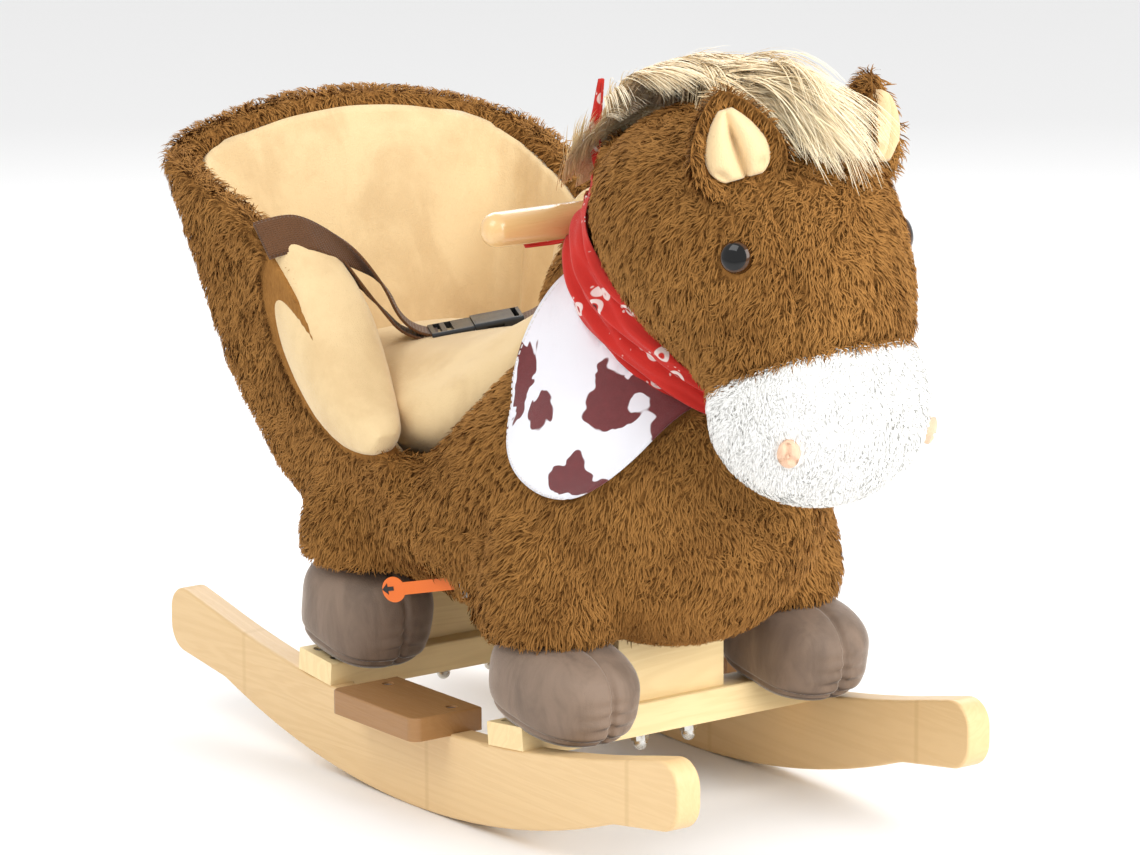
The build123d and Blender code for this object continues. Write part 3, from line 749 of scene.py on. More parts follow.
def blades(name, roots, normals, flow, lengths, width, lift, rng):
    """Tufts as narrow bent leaves that lie along the flow, in one mesh."""
    count = len(roots)
    along = unit(flow - normals * (flow * normals).sum(1, keepdims=True))
    across = np.cross(normals, along)
    roll = rng.normal(0, 0.5, (count, 1))
    side = across * np.cos(roll) + normals * np.sin(roll)
    stations = ((0.0, 1.0), (0.42, 0.95), (0.78, 0.6), (1.0, 0.0))
    points, uvs = [], []
    tint = rng.uniform(size=count)
    for t, wide in stations:
        rise = lift * (1 - (1 - t) ** 2)
        run = math.sqrt(max(0.0, 1 - lift ** 2)) * t ** 1.4
        middle = roots + lengths[:, None] * (normals * rise + along * run)
        for end in ((-1, 1) if wide else (0,)):
            points.append(middle + side * end * wide * width / 2)
            uvs.append(np.stack([tint, np.full(count, t)], 1))
    points = np.stack(points, 1).reshape(-1, 3)
    uvs = np.stack(uvs, 1).reshape(-1, 2)
    first = np.arange(count)[:, None] * 7
    quads = np.concatenate([first + [0, 2, 3, 1], first + [2, 4, 5, 3]])
    tips = first + [4, 6, 5]
    obj = mesh_object(name, points, quads.tolist() + tips.tolist(), uvs)
    soft = normals + rng.normal(0, 0.11, (count, 3)) + along * 0.12
    shading = np.repeat(unit(soft), 7, axis=0)
    obj.data.normals_split_custom_set_from_vertices(shading.tolist())
    return obj


def nap(points, seed):
    """Direction that the brown pile is brushed: down and back, in soft swirls."""
    swirl = np.stack([ripple(points, size, seed + k) for k, size in enumerate((0.05, 0.05, 0.06))], 1)
    tousle = np.stack([ripple(points, 0.009, seed + k) for k in (3, 4, 5)], 1)
    return np.array([-0.35, 0.0, -1.0]) + swirl * 0.35 + tousle * 0.55


def grow_pile(name, skin, covers, clear, length, spacing, width, seed, lift=0.5, parts=1):
    """Cover a skin with tufts, apart from where another piece lies on it, in parts from rear to front."""
    points, normals, rng = scatter(skin, spacing, seed)
    free = uncovered(points, normals, covers, clear, 0.009)
    points, normals = points[free], normals[free]
    flow = nap(points, seed) + rng.normal(0, 0.28, (len(points), 3))
    clumps = 1 + 0.13 * ripple(points, 0.006, seed + 9)
    lengths = length * clumps * rng.uniform(0.75, 1.15, len(points))
    made = []
    for number, chosen in enumerate(np.array_split(np.argsort(points[:, 0]), parts)):
        label = name if parts == 1 else f"{name}_{number + 1}"
        made.append(blades(label, points[chosen], normals[chosen], flow[chosen], lengths[chosen], width, lift, rng))
    return made


# ---------------------------------------------------------------- shapes from the frame

def box_middle(node):
    low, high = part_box(node)
    return (low + high) / 2


def blob_distance(points, blobs, melt):
    """Distance to ellipsoids that melt into each other."""
    total = None
    for centre, radii in blobs:
        centre, radii = np.array(centre), np.array(radii)
        local = (points - centre) / radii
        near = np.linalg.norm(local, axis=1)
        slope = np.linalg.norm(local / radii, axis=1)
        distance = near * (near - 1) / np.maximum(slope, 1e-9)
        if total is None:
            total = distance
        else:
            h = np.clip(0.5 + 0.5 * (distance - total) / melt, 0, 1)
            total = distance * (1 - h) + total * h - melt * h * (1 - h)
    return total


def star_surface(centre, directions, blobs, melt, reach=0.3):
    """Surface of the blobs as seen from a centre inside them."""
    near, far = np.zeros(len(directions)), np.full(len(directions), reach)
    for _ in range(26):
        middle = (near + far) / 2
        inside = blob_distance(centre + directions * middle[:, None], blobs, melt) < 0
        near = np.where(inside, middle, near)
        far = np.where(inside, far, middle)
    return centre + directions * near[:, None]


HEAD_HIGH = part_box("head_plush")[1]
MUZZLE_LOW, MUZZLE_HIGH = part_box("muzzle_plush")
SKULL = (0.168, 0.0, HEAD_HIGH.z - 0.076)
CHEEK = (HEAD_HIGH.x - 0.074, 0.0, SKULL[2] - 0.045)
NOSE = (MUZZLE_HIGH.x - 0.061, 0.0, MUZZLE_LOW.z + 0.060)
HEAD_BLOBS = (
    (SKULL, (0.110, 0.081, 0.073)),
    ((0.178, 0.0, SKULL[2] - 0.024), (0.084, 0.076, 0.070)),
    (CHEEK, (0.073, 0.071, 0.068)),
    (NOSE, (0.060, 0.068, 0.058)),
)
HEAD_MELT = 0.022
SEAM_TILT = math.radians(24)
SEAM_POINT = np.array([0.290, 0.0, 0.331])
SEAM_NORMAL = np.array([-math.sin(SEAM_TILT), 0.0, math.cos(SEAM_TILT)])
FACE_SEAM_Y = 0.044
NECK_LEAN = math.radians(32)
NECK_UP = np.array([math.sin(NECK_LEAN), 0.0, math.cos(NECK_LEAN)])
NECK_FRONT = np.array([math.cos(NECK_LEAN), 0.0, -math.sin(NECK_LEAN)])
NECK_MIDDLE = np.array([0.098, 0.0, 0.330])
NECK_RADII = (0.092, 0.058)


def bell(values, width):
    return np.exp(-(np.asarray(values) / width) ** 2)


def head_form(name, above, inset):
    """The head above the muzzle seam, or the muzzle below it, pinched along its seams."""
    directions, faces = sphere_directions(7)
    centre = np.array([0.196, 0.0, 0.362])
    points = star_surface(centre, directions, HEAD_BLOBS, HEAD_MELT)
    height = (points - SEAM_POINT) @ SEAM_NORMAL
    sink = inset + 0.0045 * bell(height, 0.006)
    if above:
        sink = sink + 0.0028 * bell(np.abs(points[:, 1]) - FACE_SEAM_Y, 0.003) * (points[:, 0] > 0.235)
    else:
        sink = sink - 0.003 * (1 - bell(height, 0.014))
    points = points - directions * sink[:, None]
    obj = mesh_object(name, points, faces)
    shape = bmesh.new()
    shape.from_mesh(obj.data)
    everything = shape.verts[:] + shape.edges[:] + shape.faces[:]
    bmesh.ops.bisect_plane(
        shape, geom=everything, plane_co=SEAM_POINT, plane_no=SEAM_NORMAL,
        clear_inner=above, clear_outer=not above)
    rim = [edge for edge in shape.edges if edge.is_boundary]
    bmesh.ops.holes_fill(shape, edges=rim, sides=0)
    shape.to_mesh(obj.data)
    shape.free()
    obj.data.polygons.foreach_set("use_smooth", [True] * len(obj.data.polygons))
    return obj


def nearest_on(trees, point):
    """Nearest point of several surfaces, and the normal there."""
    found = min((tree.find_nearest(Vector(point)) for tree in trees), key=lambda hit: hit[3])
    return np.array(found[0]), np.array(found[1])


class HORSE_OT_skin(bpy.types.Operator):
    """Sewn cover of the tub, body, neck and legs"""
    bl_idname = "horse.skin"
    bl_label = "Body cover"

    def execute(self, context):
        plush = settings("horse_plush")
        legs = [f"leg_{end}_{side}" for end in ("front", "rear") for side, _ in SIDES]
        cover = ["tub_plush", "body_plush", "neck_plush", *legs]
        inner = ["tub_panel", "tub_lining", "seat_board", "sound_case", "battery_cover"]
        skin = joined_copy("body_skin", cover + inner)
        changed(skin, "REMESH", mode="VOXEL", voxel_size=0.0042)
        keep_largest(skin)
        changed(skin, "SMOOTH", factor=0.5, iterations=12)
        box_low, box_high = (np.array(corner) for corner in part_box("sound_case"))
        by_case = ((points_of(skin) > box_low - 0.010) & (points_of(skin) < box_high + 0.010)).all(1)
        inset = np.where(by_case, -0.002, plush.skin_inset)[:, None]
        points = points_of(skin) - normals_of(skin) * inset
        front, above = (points - NECK_MIDDLE) @ NECK_FRONT, (points - NECK_MIDDLE) @ NECK_UP
        beside_post = np.clip((np.abs(points[:, 1]) - 0.022) / 0.016, 0, 1)
        slim = np.clip((above + 0.035) / 0.035, 0, 1) * (front < 0) * beside_post * 0.24
        set_points(skin, points - (slim * front)[:, None] * NECK_FRONT)
        fit_out(skin, woven_base("brown_ground", plush.brown_root_shaded, plush.brown_tip), cover)
        return {"FINISHED"}


class HORSE_OT_head(bpy.types.Operator):
    """Head and white muzzle, sewn together along a slanting seam"""
    bl_idname = "horse.head"
    bl_label = "Head and muzzle"

    def execute(self, context):
        plush = settings("horse_plush")
        head = head_form("head_skin", True, plush.skin_inset)
        ground = woven_base("head_ground", plush.brown_root_shaded, plush.brown_tip)
        fit_out(head, ground, ["head_plush"])
        muzzle = head_form("muzzle_skin", False, plush.skin_inset * 0.6)
        white = woven_base("muzzle_ground", plush.white_root_shaded, plush.white_tip)
        fit_out(muzzle, white, ["muzzle_plush"])
        return {"FINISHED"}


def disc_on_head(name, trees, centre, radii, rings, spokes, height, follow):
    """Small domed disc that stands on the head, or follows its curve; height depends on radius and angle."""
    base, normal = nearest_on(trees, centre)
    up = unit(np.array([0.0, 0.0, 1.0]) - normal * normal[2])
    across = np.cross(up, normal)
    points, uvs = [], []
    for ring in range(rings + 1):
        share = ring / rings
        for spoke in range(spokes):
            angle = 2 * math.pi * spoke / spokes
            flat = base + share * (across * math.cos(angle) * radii[0] + up * math.sin(angle) * radii[1])
            ground, out = nearest_on(trees, flat) if follow else (flat, normal)
            points.append(ground + out * height(share, angle))
            uvs.append((share, angle))
    faces = [tuple(reversed(face)) for face in grid_faces(rings + 1, spokes, loop=True)]
    return mesh_object(name, points, faces, uvs)


def joined(name, objects):
    """Join meshes into one object."""
    shape = bmesh.new()
    for obj in objects:
        shape.from_mesh(obj.data)
    mesh = bpy.data.meshes.new(name)
    shape.to_mesh(mesh)
    shape.free()
    for obj in objects:
        bpy.data.objects.remove(obj)
    mesh.polygons.foreach_set("use_smooth", [True] * len(mesh.polygons))
    return new_object(name, mesh)


class HORSE_OT_face(bpy.types.Operator):
    """Glass eyes and embroidered nostrils"""
    bl_idname = "horse.face"
    bl_label = "Eyes and nostrils"

    def execute(self, context):
        cloth = settings("horse_cloth")
        eye_middle = box_middle("eyes")
        eye_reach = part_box("eyes")[1].y
        trees = [tree_of(bpy.data.objects[name]) for name in ("head_skin", "muzzle_skin")]
        eyes, patches = [], []
        for side, sign in SIDES:
            centre = (eye_middle.x, sign * eye_reach, eye_middle.z)
            eyes.append(disc_on_head(f"eye_{side}", trees, centre, (0.0104, 0.0104), 14, 40, self.dome, False))
            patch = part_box("nostril_patches")[1]
            centre = (patch.x - 0.003, sign * (patch.y - 0.007), box_middle("nostril_patches").z)
            patches.append(disc_on_head(f"patch_{side}", trees, centre, (0.0068, 0.0086), 12, 40, self.pad, True))
        glass = joined("eye_domes", eyes)
        fit_out(glass, eye_glass("eye_glass"), ["eyes"])
        patch = joined("nostril_felt", patches)
        fit_out(patch, felt("peach_felt", cloth.peach), ["nostril_patches"])
        return {"FINISHED"}

    def dome(self, radius, angle):
        return 0.0012 + 0.0062 * math.sqrt(1 - radius ** 2.4) if radius < 1 else -0.002

    def pad(self, radius, angle):
        """Low pad with three creases that meet in a Y."""
        crease = 0.0
        for arm in (0.5 * math.pi, 1.17 * math.pi, 1.83 * math.pi):
            turn = math.atan2(math.sin(angle - arm), math.cos(angle - arm))
            crease += math.exp(-(turn * radius / 0.22) ** 2) * (0.1 < radius < 0.85)
        return 0.0042 + 0.0026 * (1 - radius ** 3) - 0.0020 * min(crease, 1) if radius < 1 else 0.0


def ear_frame(side, sign):
    """Middle of an ear and its facing, sideways and upward directions."""
    low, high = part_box(f"ear_{side}")
    middle = np.array((low + high) / 2)
    turn, splay = math.radians(34), math.radians(20)
    facing = np.array([math.cos(turn), sign * math.sin(turn), 0.06])
    up = np.array([0.06, sign * math.sin(splay), math.cos(splay)])
    facing = unit(facing)
    up = unit(up - facing * (up @ facing))
    return middle, facing, np.cross(up, facing), up


def leaf_width(q):
    """Half width of an ear, as a share, at height q from base to tip."""
    return np.sin(math.pi * np.clip(q, 0, 1) ** 0.82) ** 0.62 * (1 - 0.22 * q)


def closed_leaf(name, front, back):
    """Closed shape between a front and a back grid of points, joined all round the rim."""
    rows, columns = front.shape[:2]
    size = rows * columns
    points = np.concatenate([front.reshape(-1, 3), back.reshape(-1, 3)])
    faces = grid_faces(rows, columns)
    faces += [tuple(i + size for i in reversed(face)) for face in grid_faces(rows, columns)]
    rim = [*range(columns), *(columns * r + columns - 1 for r in range(1, rows)),
           *(size - 2 - c for c in range(columns - 1)), *(columns * r for r in range(rows - 2, 0, -1))]
    faces += [(rim[i], rim[i - 1], rim[i - 1] + size, rim[i] + size) for i in range(len(rim))]
    obj = mesh_object(name, points, faces)
    shape = bmesh.new()
    shape.from_mesh(obj.data)
    bmesh.ops.recalc_face_normals(shape, faces=shape.faces)
    shape.to_mesh(obj.data)
    shape.free()
    return obj


class HORSE_OT_ears(bpy.types.Operator):
    """Cupped ears with folded velour linings"""
    bl_idname = "horse.ears"
    bl_label = "Ears"

    def execute(self, context):
        plush, seat = settings("horse_plush"), settings("horse_seat")
        height, half, rows, columns = 0.068, 0.0315, 26, 30
        linings = []
        for side, sign in SIDES:
            middle, facing, across, up = ear_frame(side, sign)
            q = np.linspace(0.001, 0.999, rows)[:, None]
            p = np.linspace(-1, 1, columns)[None, :]
            wide = leaf_width(q) * half
            cup = 0.012 * np.abs(p) ** 2.2 * leaf_width(q)
            front = middle + (q - 0.5)[..., None] * height * up + (wide * p)[..., None] * across
            front = front + (cup - 0.004)[..., None] * facing
            depth = 0.0135 * (1 - np.abs(p) ** 2.5) * np.sin(math.pi * q) ** 0.5 + 0.0005
            back = front - depth[..., None] * facing
            ear = closed_leaf(f"ear_shell_{side}", front, back)
            changed(ear, "SUBSURF", levels=1, render_levels=1)
            ground = woven_base(f"ear_ground_{side}", plush.brown_root_shaded, plush.brown_tip)
            fit_out(ear, ground, [f"ear_{side}"])
            linings.append(self.lining(side, middle, facing, across, up, height, half))
        pair = joined("ear_folds", linings)
        fit_out(pair, velour("ear_velour", seat.cream, seat.shade), ["ear_linings"])
        return {"FINISHED"}

    def lining(self, side, middle, facing, across, up, height, half):
        """Two lobes that fold towards a crease, pointed at the top and tucked at the base."""
        rows, columns = 40, 48
        q = np.linspace(0.0, 1.0, rows)[:, None]
        p = np.linspace(-1, 1, columns)[None, :]
        wide = half * 0.70 * np.sin(math.pi * (0.06 + 0.90 * q) ** 0.80) ** 0.60 * (1 - 0.30 * q)
        lobes = 0.0072 * (1 - np.abs(np.abs(p) - 0.5) ** 2 * 4) * np.sin(math.pi * np.clip(q * 1.02, 0, 1)) ** 0.5
        crease = 0.0058 * bell(p - 0.14 + 0.22 * q, 0.11) * (q < 0.8) * np.clip((0.8 - q) * 5, 0, 1)
        tuck = 0.0035 * bell(p + 0.72, 0.16) * bell(q - 0.13, 0.07) + 0.003 * bell(p - 0.7, 0.15) * bell(q - 0.16, 0.08)
        out = 0.0045 + lobes - crease - tuck
        place = middle + ((q - 0.5) * 0.62 + 0.03)[..., None] * height * up + (wide * p)[..., None] * across
        front = place + out[..., None] * facing
        back = place - 0.0035 * facing
        return changed(closed_leaf(f"ear_fold_{side}", front, back), "SMOOTH", factor=0.5, iterations=3)


# ---------------------------------------------------------------- seat

SEAT_AXIS_X = -0.13
LINING_FOOT = 0.199


def lining_columns(tree, columns):
    """For each direction round the seat: the angle and how high the lining reaches there."""
    found = []
    for angle in np.linspace(-2.30, 2.30, columns):
        out = Vector((-math.cos(angle), -math.sin(angle), 0))
        low, high = LINING_FOOT, 0.46
        if tree.ray_cast(Vector((SEAT_AXIS_X, 0, low + 0.002)), out)[0] is None:
            continue
        for _ in range(22):
            middle = (low + high) / 2
            hit = tree.ray_cast(Vector((SEAT_AXIS_X, 0, middle)), out)[0]
            low, high = (middle, high) if hit is not None else (low, middle)
        found.append((angle, low))
    return found


class HORSE_OT_lining(bpy.types.Operator):
    """Padded velour lining of the bucket seat, with corner seams and creases"""
    bl_idname = "horse.lining"
    bl_label = "Seat lining"

    def execute(self, context):
        seat = settings("horse_seat")
        tree = tree_of(frame["nodes"]["tub_lining"])
        columns = lining_columns(tree, 230)
        rows = 44
        tops = []
        for angle, top in columns:
            out = Vector((-math.cos(angle), -math.sin(angle), 0))
            tops.append(np.array(tree.ray_cast(Vector((SEAT_AXIS_X, 0, top - 0.0005)), out)[0]))
        tops = np.array(tops)
        run = np.linalg.norm(np.gradient(tops[:, :2], axis=0), axis=1)
        slope = np.gradient(tops[:, 2]) / np.maximum(run, 1e-6)
        slope = np.convolve(np.pad(slope, 3, mode="edge"), np.ones(7) / 7, "valid")
        drop = seat.rim_band * np.sqrt(1 + np.minimum(slope ** 2, 4))
        grid = np.zeros((rows, len(columns), 3))
        for j, (angle, top) in enumerate(columns):
            out = Vector((-math.cos(angle), -math.sin(angle), 0))
            reach = max(LINING_FOOT + 0.002, top - drop[j])
            for i in range(rows):
                share = i / (rows - 1)
                height = LINING_FOOT + (reach - LINING_FOOT) * share
                hit = tree.ray_cast(Vector((SEAT_AXIS_X, 0, height)), out)[0]
                hit = np.array(hit) if hit is not None else grid[i - 1, j]
                corner = min(abs(abs(angle) - 0.93), 1.0)
                seam = 0.0042 * math.exp(-(corner / 0.028) ** 2)
                creases = 0.0016 * math.sin(corner * 62 + 1.3) * math.exp(-(corner / 0.16) ** 2) * share ** 2
                puff = seat.lining_puff * (1 - (2 * share - 1) ** 6)
                swell = puff - seam + creases + 0.0008 * math.sin(17 * angle + 11 * share)
                grid[i, j] = hit - np.array(out) * (0.0015 + swell)
        lining = grid_sheet("seat_lining", grid, 0.005, (0.9, 0.2))
        fit_out(lining, velour("seat_velour", seat.cream, seat.shade), ["tub_lining"])
        return {"FINISHED"}


WING_EDGE = (
    (-0.152, 0.349), (-0.131, 0.326), (-0.113, 0.300), (-0.099, 0.276), (-0.085, 0.256),
    (-0.066, 0.238), (-0.046, 0.225),
)


def smooth_path(points, count):
    """Evenly spaced points on a curve through a few given ones."""
    given = np.array(points, float)
    curve = bpy.data.curves.new("path", "CURVE")
    curve.dimensions = "3D"
    spline = curve.splines.new("NURBS")
    spline.points.add(len(given) - 1)
    for point, place in zip(spline.points, given):
        point.co = (*place, 1)
    spline.order_u = 3
    spline.use_endpoint_u = True
    curve.resolution_u = 24
    holder = new_object("path", curve)
    mesh = bpy.data.meshes.new_from_object(holder.evaluated_get(bpy.context.evaluated_depsgraph_get()))
    flat = np.array([v.co for v in mesh.vertices], float)
    bpy.data.objects.remove(holder)
    bpy.data.meshes.remove(mesh)
    bpy.data.curves.remove(curve)
    gone = np.concatenate([[0], np.cumsum(np.linalg.norm(np.diff(flat, axis=0), axis=1))])
    even = np.linspace(0, gone[-1], count)
    return np.stack([np.interp(even, gone, flat[:, k]) for k in range(3)], 1)


class HORSE_OT_wings(bpy.types.Operator):
    """Puffed velour pads that wrap the front edges of the wings"""
    bl_idname = "horse.wings"
    bl_label = "Wing pads"

    def execute(self, context):
        seat = settings("horse_seat")
        stations, ring = 44, 40
        path = smooth_path([(x, 0.0, z) for x, z in WING_EDGE], stations)
        heading = unit(np.gradient(path, axis=0))
        inward = np.stack([heading[:, 2], np.zeros(stations), -heading[:, 0]], 1)
        share = np.linspace(0, 1, stations)
        plump = np.sin(math.pi * (0.03 + 0.955 * share) ** 0.86) ** 0.62
        outer = 0.1350 - 0.008 * share
        inner = outer - 0.014 - 0.036 * plump * (1 - 0.10 * share)
        deep = 0.006 + 0.024 * plump
        for side, sign in SIDES:
            points = []
            for i in range(stations):
                middle_y, half = (outer[i] + inner[i]) / 2, (outer[i] - inner[i]) / 2
                centre = path[i] + inward[i] * (deep[i] - 0.0105 - 0.003 * share[i])
                for k in range(ring):
                    angle = 2 * math.pi * k / ring
                    c, s = math.cos(angle), math.sin(angle)
                    y = middle_y + half * math.copysign(abs(c) ** 0.55, c)
                    out = deep[i] * math.copysign(abs(s) ** 0.45, s)
                    spot = centre - inward[i] * out
                    points.append((spot[0], sign * y, spot[2]))
            faces = grid_faces(stations, ring, loop=True)
            faces += [tuple(range(ring)), tuple(reversed(range(len(points) - ring, len(points))))]
            pad = mesh_object(f"wing_bolster_{side}", points, faces)
            inflate(pad, 0.0045, 4.0, 0.004)
            paint = velour(f"wing_velour_{side}", seat.cream, seat.shade)
            fit_out(pad, paint, [f"wing_pad_{side}"])
        return {"FINISHED"}


class HORSE_OT_cushion(bpy.types.Operator):
    """Saddle cushion between the wings, swollen by its filling"""
    bl_idname = "horse.cushion"
    bl_label = "Saddle cushion"

    def execute(self, context):
        seat = settings("horse_seat")
        cushion = joined_copy("saddle_cushion", ["seat_cushion", "seat_board"])
        inflate(cushion, 0.0050, 4.0, seat.cushion_swell)
        paint = velour("saddle_velour", seat.cream, seat.shade)
        fit_out(cushion, paint, ["seat_cushion"])
        return {"FINISHED"}


# ---------------------------------------------------------------- hooves

class HORSE_OT_hooves(bpy.types.Operator):
    """Velvet hooves with a sole seam, a toe seam and gathers"""
    bl_idname = "horse.hooves"
    bl_label = "Hooves"

    def execute(self, context):
        cloth = settings("horse_cloth")
        directions, faces = sphere_directions(6)
        for end, pitch in (("front", 8), ("rear", 10)):
            for side, sign in SIDES:
                low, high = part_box(f"hoof_{end}_{side}")
                middle = np.array((low + high) / 2)
                radii = np.array((high - low) / 2) * np.array([1.0, 1.0, 1.06])
                tilt = math.radians(pitch)
                a, b, c = directions[:, 0], directions[:, 1], directions[:, 2]
                norm = (np.abs(a) ** 2.5 + np.abs(b) ** 2.5 + np.abs(c) ** 2.9) ** (1 / 2.5)
                local = directions / norm[:, None]
                toe = bell(b, 0.055) * (a > 0) * (c > -0.8)
                sole = bell(c + 0.52 + 0.10 * a, 0.035)
                gather = np.sin(24 * c + 2 * np.abs(b)) * bell(np.abs(b) - 0.10, 0.34) * np.clip(a * 2.2, 0, 1)
                gather = gather * bell(c + 0.2, 0.5)
                rumple = ripple(local, 0.5, 40 + (sign > 0) + 2 * (end == "rear"))
                grow = 1 - 0.055 * toe - 0.042 * sole + 0.016 * gather + 0.012 * rumple
                local = local * grow[:, None] * radii * 1.03
                x = local[:, 0] * math.cos(tilt) + local[:, 2] * math.sin(tilt)
                z = -local[:, 0] * math.sin(tilt) + local[:, 2] * math.cos(tilt)
                points = middle + np.stack([x, local[:, 1], z], 1)
                hoof = mesh_object(f"hoof_boot_{end}_{side}", points, faces)
                paint = velvet(f"hoof_velvet_{end}_{side}", cloth.hoof, cloth.hoof_underside_shade)
                fit_out(hoof, paint, [f"hoof_{end}_{side}"])
        return {"FINISHED"}


# ---------------------------------------------------------------- scarf and bibs

def push_out(points, tree, clear):
    """Lift points off a closed surface, so that each stands at least this clear of it."""
    moved = points.copy()
    for i, point in enumerate(points):
        place, normal = tree.find_nearest(Vector(point))[:2]
        height = (Vector(point) - place).dot(normal)
        if height < clear:
            moved[i] = np.array(place + normal * clear)
    return moved


class HORSE_OT_scarf(bpy.types.Operator):
    """Pleated scarf round the neck, with its knot and two tails behind"""
    bl_idname = "horse.scarf"
    bl_label = "Scarf"

    def execute(self, context):
        cloth = settings("horse_cloth")
        rows, columns = 34, 220
        turn = np.linspace(0, 2 * math.pi, columns)[None, :]
        across = np.linspace(-1, 1, rows)[:, None]
        wander = 0.5 * np.sin(3 * turn + 0.6) + 0.4 * np.sin(7 * turn)
        pleats = 0.0030 * np.sin(across * 8.5 + wander) + 0.0012 * np.sin(across * 19 - 2 * wander)
        swell = 0.0050 + pleats + 0.003 * (1 - across ** 2)
        sag = 0.0015 * np.sin(5 * turn) - 0.006 * np.cos(turn)
        up = across * 0.0215 + sag
        ring = NECK_MIDDLE + NECK_UP * 0.010
        behind = np.where(np.cos(turn) < 0, 0.76, 1.0)
        long = (NECK_RADII[0] * behind + swell) * np.cos(turn)
        wide = (NECK_RADII[1] + swell) * np.sin(turn)
        points = ring + long[..., None] * NECK_FRONT + wide[..., None] * np.array([0, 1.0, 0])
        points = points + up[..., None] * NECK_UP
        flat = push_out(points.reshape(-1, 3), tree_of(bpy.data.objects["body_skin"]), 0.003)
        cover = grid_sheet("scarf_wrap", flat.reshape(points.shape), 0.0008, (0.50, 0.056))
        print_cotton = scarf_print("scarf_cotton", cloth.red)
        fit_out(cover, print_cotton, ["scarf_band"])
        self.knot(cloth, ring)
        return {"FINISHED"}

    def knot(self, cloth, ring):
        directions, faces = sphere_directions(5)
        fold = 1 + 0.10 * np.sin(5 * np.arctan2(directions[:, 1], directions[:, 2])) * (1 - directions[:, 0] ** 2)
        centre = ring - NECK_FRONT * (NECK_RADII[0] * 0.76 + 0.013)
        local = directions * fold[:, None] * np.array([0.010, 0.014, 0.011])
        points = centre + local[:, :1] * NECK_FRONT + local[:, 1:2] * np.array([0, 1.0, 0]) + local[:, 2:] * NECK_UP
        knot = mesh_object("scarf_knot_cloth", points, faces)
        fit_out(knot, scarf_print("knot_cotton", cloth.red), ["scarf_knot"])
        tails = (
            ("upper", ((0, 0, 0), (-0.004, -0.010, 0.026), (0.002, -0.014, 0.052), (0.010, -0.014, 0.078)), 0.0085),
            ("lower", ((0, 0, 0), (-0.012, -0.014, -0.012), (-0.022, -0.030, -0.022), (-0.028, -0.046, -0.028)), 0.012),
        )
        for name, offsets, width in tails:
            path = smooth_path([centre + np.array(offset) for offset in offsets], 26)
            heading = unit(np.gradient(path, axis=0))
            side = unit(np.cross(heading, np.array([0.25, 1.0, 0.2])))
            share = np.linspace(0, 1, 26)[:, None]
            half = width * (0.60 + 0.8 * share) * np.clip((1.03 - share) * 1.8, 0.04, 1)
            spread = np.linspace(-1, 1, 11)[None, :]
            fold = 0.003 * np.cos(spread * 4.5) * (1 - share * 0.4)
            points = path[:, None, :] + (half * spread)[..., None] * side[:, None, :]
            points = points + fold[..., None] * np.cross(heading, side)[:, None, :]
            tail = grid_sheet(f"scarf_tail_{name}", points, 0.0008, (0.026, 0.08))
            fit_out(tail, scarf_print(f"tail_cotton_{name}", cloth.red),
                    ["scarf_tails"] if name == "upper" else ())


BIB_OUTLINE = (
    (0.054, 0.372), (0.053, 0.338), (0.060, 0.298), (0.069, 0.262), (0.083, 0.234), (0.109, 0.220),
    (0.136, 0.224), (0.157, 0.240), (0.167, 0.264), (0.160, 0.298),
)


